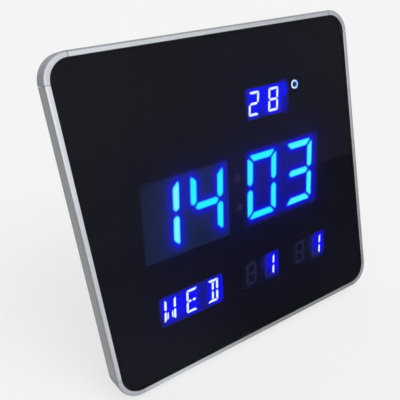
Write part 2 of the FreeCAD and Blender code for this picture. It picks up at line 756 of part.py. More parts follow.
# Front lens, held in the groove of the frame
lens = new_body("front_lens")
pad(lens, "sheet", "0", "lens_thick", rounded=[("lens_inset", "corner_radius - lens_inset")])
hand_over("front_lens", lens)

# Diffusing film on the back of the lens
film = new_body("diffuser_film")
pad(film, "sheet", "lens_thick", "film_back", rounded=[("mask_inset", "corner_radius - mask_inset")])
hand_over("diffuser_film", film)

# Digit modules: (label, right, up, digits across, big or small, lit segments)
PAIR = ("pair_window_width + 2 * module_rim", "small_window_height + 2 * module_rim")
TRIO = ("trio_window_width + 2 * module_rim", "small_window_height + 2 * module_rim")
BIG = ("big_block_width", "big_block_height")
MODULES = [
    ("hours", "hours_right", "panel_up", "big", BIG, ["bc", "bcfg"]),
    ("minutes", "minutes_right", "panel_up", "big", BIG, ["abcdef", "abcdg"]),
    (
        "temperature", "temperature_right", "panel_up + temperature_up", "small", PAIR,
        ["abdeg", "abcdefg"],
    ),
    ("month", "month_right", "panel_up - date_down", "small", PAIR, ["", "bc"]),
    ("day", "day_right", "panel_up - date_down", "small", PAIR, ["", "bc"]),
    (
        "weekday", "week_right", "panel_up - date_down", "letters", TRIO,
        ["bcefkm", "adefgh", "abcdil"],
    ),
]


def window_of(kind, right, up, block, rim):
    """The outline of a module, less a rim, with the big windows set a little low."""
    width, height = block
    if kind == "big":
        right = f"{right} + window_side"
        up = f"{up} - window_drop"
    return slanted_box(right, up, f"{width} - 2 * {rim}", f"{height} - 2 * {rim}")


def seven_segments(width, height, stroke, gap, bevel):
    """Outlines of the seven bars of a digit about its centre, each mitred to its neighbours."""
    right = width / 2
    top = height / 2
    half = stroke / 2
    nick = gap * math.sqrt(0.5)
    tip = right - nick - bevel / 2
    bar = [(-tip, top - bevel / 2), (-tip + bevel / 2, top), (tip - bevel / 2, top), (tip, top - bevel / 2)]
    bar += [(right - stroke - nick, top - stroke), (-right + stroke + nick, top - stroke)]
    post = [(right - bevel / 2, top - nick - bevel / 2), (right, top - nick - bevel)]
    post += [(right, half + nick), (right - half, nick)]
    post += [(right - stroke, half + nick), (right - stroke, top - stroke - nick)]
    reach = right - half - nick
    middle_bar = [(-reach, 0), (-reach + half, half), (reach - half, half)]
    middle_bar += [(reach, 0), (reach - half, -half), (-reach + half, -half)]
    return {
        "a": bar,
        "b": post,
        "c": [(x, -z) for x, z in post],
        "d": [(x, -z) for x, z in bar],
        "e": [(-x, -z) for x, z in post],
        "f": [(-x, z) for x, z in post],
        "g": middle_bar,
    }


def letter_segments(width, height, stroke, gap, bevel):
    """Outlines of the fourteen bars of a letter: the middle bar halved, spokes added."""
    bars = seven_segments(width, height, stroke, gap, bevel)
    right = width / 2
    top = height / 2
    half = stroke / 2
    nick = gap * math.sqrt(0.5)
    reach = right - half - nick
    half_bar = [(-reach, 0), (-reach + half, half), (-half - nick, half)]
    half_bar += [(-nick, 0), (-half - nick, -half), (-reach + half, -half)]
    spoke_top = top - stroke - gap
    upright = [(-half, spoke_top), (half, spoke_top), (half, half + nick)]
    upright += [(0, nick), (-half, half + nick)]
    near = half + gap
    far = right - stroke - gap
    low = half + gap
    thick = stroke * value("spoke_width")
    tall = stroke * value("spoke_rise")
    slope = [(near, low), (near + thick, low), (far, spoke_top - tall)]
    slope += [(far, spoke_top), (far - thick, spoke_top), (near, low + tall)]
    bars["g"] = half_bar
    bars["h"] = [(-x, z) for x, z in half_bar]
    bars["i"] = upright
    bars["l"] = [(x, -z) for x, z in upright]
    bars["j"] = [(-x, z) for x, z in slope]
    bars["n"] = slope
    bars["k"] = [(-x, -z) for x, z in slope]
    bars["m"] = [(x, -z) for x, z in slope]
    return bars


def bar_solid(points, right, up):
    """One bar, slanted like the digits, from the digit plane into its module."""
    front = value("digit_plane")
    slant = math.tan(math.radians(value("digit_slant")))
    corners = [Vector(right + x + z * slant, front, up + z) for x, z in points]
    face = Part.Face(Part.makePolygon(corners + corners[:1]))
    return face.extrude(Vector(0, value("segment_depth"), 0))


def make_module(name, right, up, kind, block, digits):
    """A module body with a cavity for each bar, its lit bars and its unlit bars."""
    sort = "big" if kind == "big" else "small"
    width, height, pitch, stroke, gap, bevel = (
        value(f"{sort}_{item}")
        for item in ("digit_width", "digit_height", "digit_pitch", "stroke", "gap", "bevel")
    )
    shapes = letter_segments if kind == "letters" else seven_segments
    bars = shapes(width, height, stroke, gap, bevel)
    lit = []
    unlit = []
    for place, lit_names in enumerate(digits):
        offset = (place - (len(digits) - 1) / 2) * pitch
        for bar_name, points in bars.items():
            solid = bar_solid(points, value(right) + offset, value(up))
            (lit if bar_name in lit_names else unlit).append(solid)
    lit_bars = doc.addObject("Part::Feature", name + "_lit_segments")
    lit_bars.Shape = Part.makeCompound(lit)
    dark_bars = doc.addObject("Part::Feature", name + "_unlit_segments")
    dark_bars.Shape = Part.makeCompound(unlit)
    cavities = doc.addObject("Part::Feature", name + "_cavities")
    cavities.Shape = Part.makeCompound(lit + unlit)
    block_body = new_body(name + "_block")
    pad(block_body, "block", "digit_plane", "board_front", [window_of(kind, right, up, block, "0")])
    module = doc.addObject("Part::Cut", name + "_module")
    module.Base = block_body
    module.Tool = cavities
    hand_over(name + "_module", module)
    hand_over(name + "_lit_segments", lit_bars)
    hand_over(name + "_unlit_segments", dark_bars)


for module_row in MODULES:
    make_module(*module_row)

# Colon lamps and the degree ring stand on the board and show through the mask.
COLON_SPOTS = [
    (f"{sign} * colon_up * tan(colon_slant)", f"panel_up + {sign} * colon_up") for sign in (1, -1)
]
colon_lamps = []
for number, (right, up) in enumerate(COLON_SPOTS, 1):
    lamp = new_body(f"colon_lamp_{number}")
    pad(lamp, "lamp", "lens_thick + lamp_play", "board_front", circles=[(right, up, "colon_radius")])
    colon_lamps.append(lamp)
group("colon_lamps", colon_lamps)

RING_UP = "panel_up + ring_up"
ring = new_body("degree_ring")
pad(
    ring, "tube", "lens_thick + lamp_play", "board_front",
    circles=[("ring_right", RING_UP, "ring_outer"), ("ring_right", RING_UP, "ring_inner")],
)
hand_over("degree_ring", ring)

# Black mask with a window for every module
mask = new_body("display_mask")
pad(mask, "sheet", "film_back", "digit_plane", rounded=[("mask_inset", "corner_radius - mask_inset")])
pocket(
    mask, "windows", "film_back", "digit_plane",
    [window_of(kind, right, up, block, "module_rim") for name, right, up, kind, block, digits in MODULES],
    [(right, up, "colon_radius + lamp_play") for right, up in COLON_SPOTS]
    + [("ring_right", RING_UP, "ring_outer + lamp_play")],
)
mask_edge = value("half_width - mask_inset - corner_radius")
dress(
    mask, "Fillet", "window_corners", "window_corner",
    lambda edge: runs_along(edge, Vector(0, 1, 0)) and abs(edge.CenterOfMass.x) < mask_edge,
)
hand_over("display_mask", mask)

# Rear cover: a flange inside the frame and a raised box, with everything that sits in them.
BUTTON_SPOTS = [
    ("button_right", f"button_base + {i} * button_pitch") for i in range(count_of("button_count"))
]
BOARD_SCREWS = [
    (f"{side} * boss_right", f"panel_up + {level} * boss_up")
    for side in (-1, 1) for level in (-1, 0, 1) if (side, level) != (1, -1)
]
HATCH_LEFT = "box_right - door_length - door_play"
DOOR_LEFT = "box_right - door_length"


def leg_outline(extra, top, bottom):
    """The tapered outline of the leg when folded, widened on each side."""
    half_top = "leg_top_width / 2"
    taper = "(leg_foot_width - leg_top_width) / 2 / leg_reach"
    low = f"{half_top} + (hinge_height - ({bottom})) * {taper} + {extra}"
    high = f"{half_top} + (hinge_height - ({top})) * {taper} + {extra}"
    return [(f"-({low})", bottom), (low, bottom), (high, top), (f"-({high})", top)]


cover = new_body("rear_cover")
pad(cover, "flange", "cover_seat", "plate_back", rounded=[("plate_inset", "corner_radius - plate_inset")])
pad(cover, "box", "cover_seat", "cover_depth", rounded=[("box_inset", "box_corner")])
rear = value("cover_depth")
dress(
    cover, "Fillet", "rear_edge", "box_round",
    lambda edge: abs(edge.BoundBox.YMin - rear) < 1e-4 and abs(edge.BoundBox.YMax - rear) < 1e-4,
)
pocket(
    cover, "cavity", "cover_seat", "cover_inside", rounded=[("cavity_inset", "box_corner - cover_wall")]
)
pad(
    cover, "leg_tray", "tray_front", "cover_inside + cover_wall / 2",
    [leg_outline("recess_play + recess_wall", "hinge_height + floor_gap + 2 * recess_wall", "box_inset")],
)
pocket(
    cover, "leg_recess", "recess_back", "cover_depth",
    [leg_outline("recess_play", "hinge_height + floor_gap + recess_wall", "0")],
)
pin_sketch = new_sketch(cover, "pin_hole_sketch", "YZ_Plane", ("0", "0", "0"))
hold(pin_sketch, circle(pin_sketch, "hinge_back", "hinge_height", "pin_radius + pin_play"))
pin_hole = cover.newObject("PartDesign::Pocket", "pin_hole")
pin_hole.Profile = pin_sketch
pin_hole.Midplane = True
pin_hole.setExpression("Length", bind("leg_top_width + 4 * recess_wall"))
doc.recompute()

# Keyholes with a deeper, wider pocket behind the wall for the screw's head
KEYHOLES = [f"{side} * keyhole_right" for side in (-1, 1)]
SLOT_END = "keyhole_base + keyhole_rise - keyhole_slot"
HEAD_ROOM = "keyhole_head + keyhole_flare"


def keyhole_box(right, extra):
    """An outline round the whole travel of the screw's head."""
    reach = f"{HEAD_ROOM} + {extra}"
    return box_points(
        f"{right} - ({reach})", f"{right} + {reach}", f"keyhole_base - ({reach})",
        f"keyhole_base + keyhole_rise + {reach}",
    )


pad(
    cover, "keyhole_blocks", "cover_depth - keyhole_pocket - cover_wall / 2",
    "cover_inside + overlap",
    [keyhole_box(right, "cover_wall") for right in KEYHOLES],
)
pocket(
    cover, "keyhole_pockets", "cover_depth - keyhole_pocket", "cover_inside",
    [keyhole_box(right, "0") for right in KEYHOLES],
)
pocket(
    cover, "keyhole_rounds", "cover_inside", "cover_depth",
    circles=[(right, "keyhole_base", "keyhole_head") for right in KEYHOLES]
    + [(right, SLOT_END, "keyhole_slot") for right in KEYHOLES],
)
pocket(
    cover, "keyhole_slots", "cover_inside", "cover_depth",
    [
        box_points(f"{right} - keyhole_slot", f"{right} + keyhole_slot", "keyhole_base", SLOT_END)
        for right in KEYHOLES
    ],
)

# Bosses that carry the board, with a hole for each screw
pad(
    cover, "board_bosses", "board_back", "cover_inside + overlap",
    circles=[(right, up, "boss_radius") for right, up in BOARD_SCREWS],
)
pocket(
    cover, "board_boss_holes", "board_back", "board_back + screw_bite",
    circles=[(right, up, "screw_radius + screw_play") for right, up in BOARD_SCREWS],
)
pocket(
    cover, "flange_holes", "cover_seat", "plate_back",
    circles=[(right, up, "screw_radius + screw_play") for right, up in corner_screws],
)

# Round holes through the rear wall: the buttons, the power inlet and the buzzer's sound holes
SOUND_HOLES = [("buzzer_right", "buzzer_up", "sound_hole")] + [
    (
        f"buzzer_right + sound_circle * cos({i} * 360 / sound_count)",
        f"buzzer_up + sound_circle * sin({i} * 360 / sound_count)",
        "sound_hole",
    )
    for i in range(count_of("sound_count"))
]
pocket(
    cover, "wall_holes", "cover_inside", "cover_depth",
    circles=[(right, up, "button_radius + button_play") for right, up in BUTTON_SPOTS]
    + [("jack_right", "jack_up", "jack_barrel + jack_play")]
    + SOUND_HOLES,
)

# Vent slots: one slot, repeated sideways
first_vent = "-(vent_count - 1) / 2 * vent_pitch"
vent = pocket(
    cover, "vent", "cover_inside", "cover_depth",
    [
        box_points(
            f"{first_vent} - vent_width / 2", f"{first_vent} + vent_width / 2", "vent_base",
            "vent_base + vent_height",
        )
    ],
)
repeat(cover, "vents", vent, "H_Axis", "(vent_count - 1) * vent_pitch", "vent_count")
doc.recompute()

# Battery hatch: a sill inside the wall, an opening over the cell and a slot for the door
pad(
    cover, "hatch_sill", "cover_depth - door_thick - door_play - sill", "cover_inside + overlap",
    [
        box_points(
            f"{HATCH_LEFT} - sill", "box_right - cover_wall / 2",
            "cell_up - (door_half + door_tongue + door_play + sill)",
            "cell_up + door_half + door_tongue + door_play + sill",
        )
    ],
)
pocket(
    cover, "hatch", "cover_depth - door_thick - door_play - sill", "cover_depth",
    [
        box_points(
            "cell_right - hatch_half", "cell_right + hatch_half",
            "cell_up - hatch_half", "cell_up + hatch_half",
        )
    ],
)
pocket(
    cover, "door_slot", "cover_depth - door_thick - door_play", "cover_depth",
    [
        box_points(
            HATCH_LEFT, "box_right + run_out",
            "cell_up - (door_half + door_play)", "cell_up + door_half + door_play",
        )
    ],
)
pocket(
    cover, "tongue_slots", "cover_depth - door_thick - door_play",
    "cover_depth - door_thick + door_tongue_thick + door_play",
    [
        box_points(
            HATCH_LEFT, "box_right + run_out", "cell_up - (door_half + door_tongue + door_play)",
            "cell_up + door_half + door_tongue + door_play",
        )
    ],
)
hand_over("rear_cover", cover)

# Board with its corner notch, holes and a rounded outline
board = new_body("display_board")
pad(board, "sheet", "board_front", "board_back", rounded=[("board_inset", "board_corner")])
pocket(
    board, "inlet_notch", "board_front", "board_back",
    [
        box_points(
            "half_width - board_inset - notch_width", "half_width", "0", "board_inset + notch_height"
        )
    ],
)
pocket(
    board, "screw_holes", "board_front", "board_back",
    circles=[(right, up, "screw_radius + screw_play") for right, up in BOARD_SCREWS],
)
hand_over("display_board", board)


CROSS = [
    ("recess_reach", "recess_half"), ("recess_half", "recess_half"), ("recess_half", "recess_reach"),
    ("-recess_half", "recess_reach"), ("-recess_half", "recess_half"), ("-recess_reach", "recess_half"),
    ("-recess_reach", "-recess_half"), ("-recess_half", "-recess_half"), ("-recess_half", "-recess_reach"),
    ("recess_half", "-recess_reach"), ("recess_half", "-recess_half"), ("recess_reach", "-recess_half"),
]


def make_screws(label, spots, head_front, direction):
    """Pan-head screws with a cross recess; direction is 1 for a shank to the back, -1 to the front."""
    screws = []
    for number, (right, up) in enumerate(spots, 1):
        head = f"{-direction} * screw_head_height"
        held = "board_thick" if direction > 0 else "plate_thick"
        tip = f"{direction} * (screw_bite - screw_spare + {held})"
        screw = turned(
            f"{label}_{number}",
            [
                ("0", head),
                ("screw_crown", head),
                ("screw_head_radius", f"{-direction} * screw_dome"),
                ("screw_head_radius", "0"),
                ("screw_radius", "0"),
                ("screw_radius", f"{tip} - {direction} * screw_point"),
                ("screw_radius - screw_point", tip),
                ("0", tip),
            ],
        )
        top, bottom = head, f"{head} + {direction} * cross_recess"
        pocket(screw, "recess", *((top, bottom) if direction > 0 else (bottom, top)), [CROSS])
        screw.setExpression("Placement", at(right, head_front, up))
        screws.append(screw)
    return group(label, screws)


make_screws("board_screws", BOARD_SCREWS, "board_front", 1)
make_screws("cover_screws", corner_screws, "plate_back", -1)

# Buttons and the switches they press
for name, (right, up) in zip(("set", "up", "down", "mode"), BUTTON_SPOTS):
    top = "cover_depth + button_proud"
    cap = turned(
        f"button_{name}",
        [
            ("0", "button_seat"),
            ("button_flange", "button_seat"),
            ("button_flange", "cover_inside"),
            ("button_radius", "cover_inside"),
            ("button_radius", f"{top} - button_edge"),
            ("button_radius - button_edge", top),
            ("0", f"{top} - button_dish"),
        ],
    )
    hand_over(f"button_{name}", cap, at(right, "0", up))

switches = []
for number, (right, up) in enumerate(BUTTON_SPOTS, 1):
    switch = new_body(f"switch_{number}")
    half = "switch_side / 2"
    pad(
        switch, "case", "board_back", "switch_front",
        [box_points(f"{right} - {half}", f"{right} + {half}", f"{up} - {half}", f"{up} + {half}")],
    )
    pad(switch, "stem", "switch_front - overlap", "stem_end", circles=[(right, up, "switch_stem")])
    switches.append(switch)
group("tact_switches", switches)

# Power inlet: barrel, centre pin and nut
jack = turned(
    "dc_jack",
    [
        ("0", "-jack_length"),
        ("jack_barrel", "-jack_length"),
        ("jack_barrel", "0"),
        ("jack_flange", "0"),
        ("jack_flange", "jack_flange_thick - jack_edge"),
        ("jack_flange - jack_edge", "jack_flange_thick"),
        ("jack_bore", "jack_flange_thick"),
        ("jack_bore", "jack_flange_thick - jack_bore_depth"),
        ("0", "jack_flange_thick - jack_bore_depth"),
    ],
)
hand_over("dc_jack", jack, at("jack_right", "cover_depth", "jack_up"))
jack_pin = turned(
    "dc_jack_pin",
    [
        ("0", "jack_flange_thick - jack_bore_depth"),
        ("jack_pin", "jack_flange_thick - jack_bore_depth"),
        ("jack_pin", "-jack_pin_tip"),
        ("jack_pin - jack_pin_tip", "0"),
        ("0", "0"),
    ],
)
hand_over("dc_jack_pin", jack_pin, at("jack_right", "cover_depth", "jack_up"))
nut = new_body("dc_jack_nut")
hexagon = [
    (f"jack_right + jack_nut * cos({60 * i})", f"jack_up + jack_nut * sin({60 * i})") for i in range(6)
]
pad(
    nut, "hexagon", "cover_inside - jack_nut_thick", "cover_inside", [hexagon],
    [("jack_right", "jack_up", "jack_barrel + screw_play")],
)
hand_over("dc_jack_nut", nut)

# Backup cell, its holder on the board and the door over it
holder = new_body("coin_cell_holder")
half = "cell_radius + cell_play + holder_wall"
pad(
    holder, "block", "board_back", "board_back + holder_height",
    [
        box_points(
            f"cell_right - ({half})", f"cell_right + {half}", f"cell_up - ({half})", f"cell_up + {half}"
        )
    ],
)
pocket(
    holder, "well", "board_back + holder_floor", "board_back + holder_height",
    circles=[("cell_right", "cell_up", "cell_radius + cell_play")],
)
hand_over("coin_cell_holder", holder)
cell = turned(
    "coin_cell",
    [
        ("0", "0"),
        ("cell_radius - cell_step", "0"),
        ("cell_radius - cell_step", "cell_lip"),
        ("cell_radius", "2 * cell_lip"),
        ("cell_radius", "cell_thick - cell_edge"),
        ("cell_radius - cell_edge", "cell_thick"),
        ("0", "cell_thick"),
    ],
)
hand_over("coin_cell", cell, at("cell_right", "board_back + holder_floor", "cell_up"))
door = new_body("battery_door")
pad(
    door, "tongues", "cover_depth - door_thick", "cover_depth - door_thick + door_tongue_thick",
    [
        box_points(
            DOOR_LEFT, "box_right",
            "cell_up - (door_half + door_tongue)", "cell_up + door_half + door_tongue",
        )
    ],
)
pad(
    door, "plate", "cover_depth - door_thick", "cover_depth",
    [box_points(DOOR_LEFT, "box_right - box_round", "cell_up - door_half", "cell_up + door_half")],
)
for i in range(count_of("grip_count")):
    right = f"box_right - 2 * box_round - {i} * grip_pitch"
    pad(
        door, f"grip_{i + 1}", "cover_depth - overlap", "cover_depth + grip_height",
        [
            box_points(
                f"{right} - grip_width / 2", f"{right} + grip_width / 2",
                "cell_up - grip_length / 2", "cell_up + grip_length / 2",
            )
        ],
    )
hand_over("battery_door", door)

# Parts on the back of the board
buzzer = turned(
    "buzzer",
    [
        ("buzzer_bore", "0"),
        ("buzzer_radius", "0"),
        ("buzzer_radius", "buzzer_height - buzzer_edge"),
        ("buzzer_radius - buzzer_edge", "buzzer_height"),
        ("buzzer_bore", "buzzer_height"),
    ],
)
hand_over("buzzer", buzzer, at("buzzer_right", "board_back", "buzzer_up"))


def make_chip(name, sort, right, up):
    """A chip lying on the board with a row of legs along each long side."""
    body = new_body(name)
    half_long = f"{sort}_long / 2"
    half_short = f"{sort}_short / 2"
    pad(
        body, "case", "board_back + chip_lift", f"board_back + {sort}_tall",
        [
            box_points(
                f"{right} - {half_long}", f"{right} + {half_long}",
                f"{up} - {half_short}", f"{up} + {half_short}",
            )
        ],
    )
    first = f"{right} - {half_long} + pin_margin"
    rows = [
        (f"{up} - {half_short} - pin_reach", f"{up} - {half_short} + pin_root"),
        (f"{up} + {half_short} - pin_root", f"{up} + {half_short} + pin_reach"),
    ]
    legs = pad(
        body, "legs", "board_back", "board_back + pin_thick",
        [
            box_points(f"{first} - pin_width / 2", f"{first} + pin_width / 2", low, high)
            for low, high in rows
        ],
    )
    repeat(body, "leg_rows", legs, "H_Axis", f"{sort}_long - 2 * pin_margin", f"{sort}_pins")
    return body


hand_over(
    "microcontroller", make_chip("microcontroller", "controller", "controller_right", "controller_up")
)
DRIVER_SPOTS = [
    ("driver_right", "panel_up + driver_rise"),
    ("driver_right", "panel_up - driver_down"),
    ("-driver_right", "panel_up - driver_down"),
]
group(
    "driver_chips",
    [
        make_chip(f"driver_chip_{number}", "driver", right, up)
        for number, (right, up) in enumerate(DRIVER_SPOTS, 1)
    ],
)

crystal = new_body("crystal")
crystal_end = "controller_right - controller_long / 2 - crystal_gap"
pad(
    crystal, "can", "board_back", "board_back + crystal_tall",
    [
        box_points(
            f"{crystal_end} - crystal_long", crystal_end,
            "controller_up - crystal_wide / 2", "controller_up + crystal_wide / 2",
        )
    ],
)
dress(
    crystal, "Fillet", "can_ends", "crystal_round", lambda edge: runs_along(edge, Vector(0, 1, 0))
)
hand_over("crystal", crystal)

capacitors = []
for number in range(1, 3):
    can = turned(
        f"capacitor_{number}",
        [
            ("0", "0"),
            ("can_radius", "0"),
            ("can_radius", "can_base - can_crimp"),
            ("can_radius - can_crimp", "can_base"),
            ("can_radius", "can_base + can_crimp"),
            ("can_radius", "can_tall - can_crimp"),
            ("can_radius - can_crimp", "can_tall"),
            ("0", "can_tall"),
        ],
    )
    can_up = f"controller_up - {number - 1} * can_pitch"
    can.setExpression("Placement", at("can_right", "board_back", can_up))
    capacitors.append(can)
group("capacitors", capacitors)

sensor = turned(
    "temperature_sensor",
    [
        ("0", "0"),
        ("sensor_lead", "0"),
        ("sensor_lead", "sensor_stem"),
        ("sensor_radius", "sensor_stem + sensor_bead / 3"),
        ("sensor_radius", "sensor_stem + sensor_bead * 2 / 3"),
        ("sensor_lead", "sensor_stem + sensor_bead"),
        ("0", "sensor_stem + sensor_bead"),
    ],
)
hand_over("temperature_sensor", sensor, at("0", "board_back", "vent_base + vent_height / 2"))

# Fold-out leg, drawn about its hinge axis with the foot straight down
OPENED = at("0", "hinge_back", "hinge_height", f"rotationx({bind('stand_angle')})")
TAPER = "(leg_foot_width - leg_top_width) / 2 / leg_reach"


def leg_half(drop):
    return f"leg_top_width / 2 + ({drop}) * {TAPER}"


leg = new_body("stand_leg")
pad(
    leg, "plate", "-leg_thick / 2", "leg_thick / 2",
    [
        [
            (f"-({leg_half('leg_end')})", "-leg_end"), (leg_half("leg_end"), "-leg_end"),
            ("leg_top_width / 2", "0"), ("-leg_top_width / 2", "0"),
        ]
    ],
)
barrel_sketch = new_sketch(leg, "barrel_sketch", "YZ_Plane", ("0", "0", "0"))
hold(barrel_sketch, circle(barrel_sketch, "0", "0", "leg_thick / 2"))
barrel = leg.newObject("PartDesign::Pad", "barrel")
barrel.Profile = barrel_sketch
barrel.Midplane = True
barrel.setExpression("Length", bind("leg_top_width"))
extrude_across(
    leg, "stop_heel", "YZ_Plane", "-leg_top_width / 2", "leg_top_width",
    [("-heel_half", "0"), ("heel_half", "0"), ("heel_half", "heel_length"), ("-heel_half", "heel_length")],
)
tongue_width = f"{leg_half('leg_end')} - pad_wall"
pad(
    leg, "tongue", "-leg_thick / 2 + pad_wall", "leg_thick / 2 - pad_wall",
    [box_points(f"-({tongue_width})", tongue_width, "-(leg_end + pad_socket)", "-(leg_end - overlap)")],
)
pocket(
    leg, "light_panel", "-leg_thick / 2", "leg_thick / 2 - leg_web",
    [
        [
            (f"-({leg_half('leg_end - leg_toe')} - leg_rib)", "-(leg_end - leg_toe)"),
            (f"{leg_half('leg_end - leg_toe')} - leg_rib", "-(leg_end - leg_toe)"),
            (f"{leg_half('leg_head')} - leg_rib", "-leg_head"),
            (f"-({leg_half('leg_head')} - leg_rib)", "-leg_head"),
        ]
    ],
)
for number in range(1, count_of("cross_rib_count") + 1):
    drop = f"leg_head + (leg_end - leg_toe - leg_head) * {number} / (cross_rib_count + 1)"
    reach = f"{leg_half(drop)} - leg_rib / 2"
    pad(
        leg, f"cross_rib_{number}", "-leg_thick / 2", "leg_thick / 2 - leg_web + overlap",
        [box_points(f"-({reach})", reach, f"-({drop} + cross_rib / 2)", f"-({drop} - cross_rib / 2)")],
    )
axis_sketch = new_sketch(leg, "axis_hole_sketch", "YZ_Plane", ("0", "0", "0"))
hold(axis_sketch, circle(axis_sketch, "0", "0", "pin_radius + pin_play"))
axis_hole = leg.newObject("PartDesign::Pocket", "axis_hole")
axis_hole.Profile = axis_sketch
axis_hole.Midplane = True
axis_hole.setExpression("Length", bind("leg_top_width + 2 * run_out"))
hand_over("stand_leg", leg, OPENED)

shoe = new_body("stand_foot")
sole = "leg_reach"
shoe_width = leg_half("leg_end")
extrude_across(
    shoe, "block", "YZ_Plane", f"-({shoe_width})", f"2 * ({shoe_width})",
    [
        ("-leg_thick / 2", f"-{sole} + leg_thick / 2 * tan(leg_rake)"),
        ("leg_thick / 2", f"-{sole} - leg_thick / 2 * tan(leg_rake)"),
        ("leg_thick / 2", "-leg_end"),
        ("-leg_thick / 2", "-leg_end"),
    ],
)
pocket(
    shoe, "socket", "-leg_thick / 2 + pad_wall", "leg_thick / 2 - pad_wall",
    [box_points(f"-({tongue_width})", tongue_width, "-(leg_end + pad_socket)", "-leg_end")],
)
hand_over("stand_foot", shoe, OPENED)

pin = doc.addObject("Part::Cylinder", "stand_pin")
pin.setExpression("Radius", bind("pin_radius"))
pin.setExpression("Height", bind("leg_top_width + 2 * recess_play + 2 * recess_wall"))
hand_over(
    "stand_pin", pin,
    at("-(leg_top_width / 2 + recess_play + recess_wall)", "hinge_back", "hinge_height", "rotationy(90)"),
)

# Rubber feet under the bottom rail, cut to the plane of the desk
feet = []
for number, side in enumerate((-1, 1), 1):
    foot = new_body(f"foot_{number}")
    back = "side_depth - foot_back"
    extrude_across(
        foot, "wedge", "YZ_Plane", f"{side} * foot_right - foot_width / 2", "foot_width",
        [
            ("foot_front", "0"),
            (back, "0"),
            (back, f"(({back}) * sin(lean) - desk_drop) / cos(lean)"),
            ("foot_front", "(foot_front * sin(lean) - desk_drop) / cos(lean)"),
        ],
    )
    feet.append(foot)
group("rubber_feet", feet)

# Bumpers that keep the rear face off a wall
bumpers = []
for number, side in enumerate((-1, 1), 1):
    bumper = turned(
        f"bumper_{number}",
        [
            ("0", "0"),
            ("bumper_radius", "0"),
            ("bumper_radius", "bumper_thick - bumper_edge"),
            ("bumper_radius - bumper_edge", "bumper_thick"),
            ("0", "bumper_thick"),
        ],
    )
    bumper.setExpression("Placement", at(f"{side} * bumper_right", "cover_depth", "bumper_up"))
    bumpers.append(bumper)
group("wall_bumpers", bumpers)

doc.recompute()
for thing in doc.Objects:
    if {"Invalid", "Error"} & set(thing.State):
        raise RuntimeError(f"{thing.Label} failed: {thing.State}")
os.makedirs("parts", exist_ok=True)
for thing in sub_parts:
    if thing.Shape.isNull() or not thing.Shape.isValid():
        raise RuntimeError(f"{thing.Label} has no valid shape")
for thing in sub_parts:
    thing.Shape.exportStep(f"parts/{thing.Label}.step")
print(len(sub_parts), "pieces written")
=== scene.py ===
import math

import bmesh
import bpy
import numpy as np
from mathutils import Matrix, Vector
from mathutils.geometry import delaunay_2d_cdt


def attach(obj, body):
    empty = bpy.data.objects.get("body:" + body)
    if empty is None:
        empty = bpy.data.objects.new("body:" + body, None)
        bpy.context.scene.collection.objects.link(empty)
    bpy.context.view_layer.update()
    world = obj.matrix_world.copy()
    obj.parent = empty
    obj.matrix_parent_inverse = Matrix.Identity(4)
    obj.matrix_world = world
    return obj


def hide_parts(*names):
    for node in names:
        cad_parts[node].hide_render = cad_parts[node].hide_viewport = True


# Looks of the digital LED clock: the glowing digits, the smoked lens, the satin
# frame, the moulded rear cover and its leg, and the studio round them.
# Lengths are in metres. The upright frame of the clock is X to the right, Y from
# the glass to the back and Z up from its lower edge; on the desk it leans back.
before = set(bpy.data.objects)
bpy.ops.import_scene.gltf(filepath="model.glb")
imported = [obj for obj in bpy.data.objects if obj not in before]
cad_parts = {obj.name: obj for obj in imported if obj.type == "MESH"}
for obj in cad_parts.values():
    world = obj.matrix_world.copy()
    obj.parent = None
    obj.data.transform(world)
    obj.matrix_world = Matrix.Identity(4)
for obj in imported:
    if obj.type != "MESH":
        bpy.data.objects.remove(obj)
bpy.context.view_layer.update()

MM = 0.001
LEAN = math.radians(17.04)
LEANED = Matrix.Rotation(-LEAN, 3, "X")


def upright(node):
    """Vertices of a CAD node, turned back into the upright clock."""
    points = np.array([v.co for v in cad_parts[node].data.vertices])
    return points @ np.array(LEANED)


GLASS_FRONT = upright("front_lens")[:, 1].min()
LOWER_EDGE = upright("rail_bottom")[:, 2].min()
DIGIT_PLANE = upright("hours_lit_segments")[:, 1].min() - GLASS_FRONT
MASK_FRONT = upright("display_mask")[:, 1].min() - GLASS_FRONT
LENS_BACK = upright("front_lens")[:, 1].max() - GLASS_FRONT

# Tolerances for reading flat faces and outlines
FACE_TOLERANCE = 0.1 * MM
EDGE_TOLERANCE = 0.01 * MM
MERGE_DISTANCE = 0.001 * MM
OUTLINE_DECIMALS = 6
# The most of a side that the rounding of a corner takes
CORNER_SHARE = 0.45
# A fill keeps only the faces inside its outline
INSIDE_ONLY = 1
FILL_TOLERANCE = 1e-9


def on_desk(right, back, up):
    """A point of the upright clock, where the leaning clock has it on the desk."""
    return LEANED @ Vector((right, back + GLASS_FRONT, up + LOWER_EDGE))


def flat_outline(points):
    """Convex outline through points of a plane, anticlockwise."""
    unique = np.unique(np.round(points, OUTLINE_DECIMALS), axis=0)
    centre = unique.mean(0)
    order = np.argsort(np.arctan2(unique[:, 1] - centre[1], unique[:, 0] - centre[0]))
    return unique[order]


def front_face(points):
    """The foremost of some points: (right, up from the lower edge)."""
    front = points[:, 1] < points[:, 1].min() + FACE_TOLERANCE
    return points[front][:, [0, 2]] - (0, LOWER_EDGE)


def bar_outlines(node):
    """Front outline of every separate bar of a CAD node: (right, up) in the upright clock."""
    mesh = bmesh.new()
    mesh.from_mesh(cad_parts[node].data)
    bmesh.ops.remove_doubles(mesh, verts=mesh.verts, dist=MERGE_DISTANCE)
    waiting = set(mesh.verts)
    outlines = []
    while waiting:
        island = [waiting.pop()]
        for vertex in island:
            for edge in vertex.link_edges:
                other = edge.other_vert(vertex)
                if other in waiting:
                    waiting.remove(other)
                    island.append(other)
        outlines.append(flat_outline(front_face(np.array([v.co for v in island]) @ np.array(LEANED))))
    mesh.free()
    return sorted(outlines, key=lambda outline: tuple(outline.mean(0)))


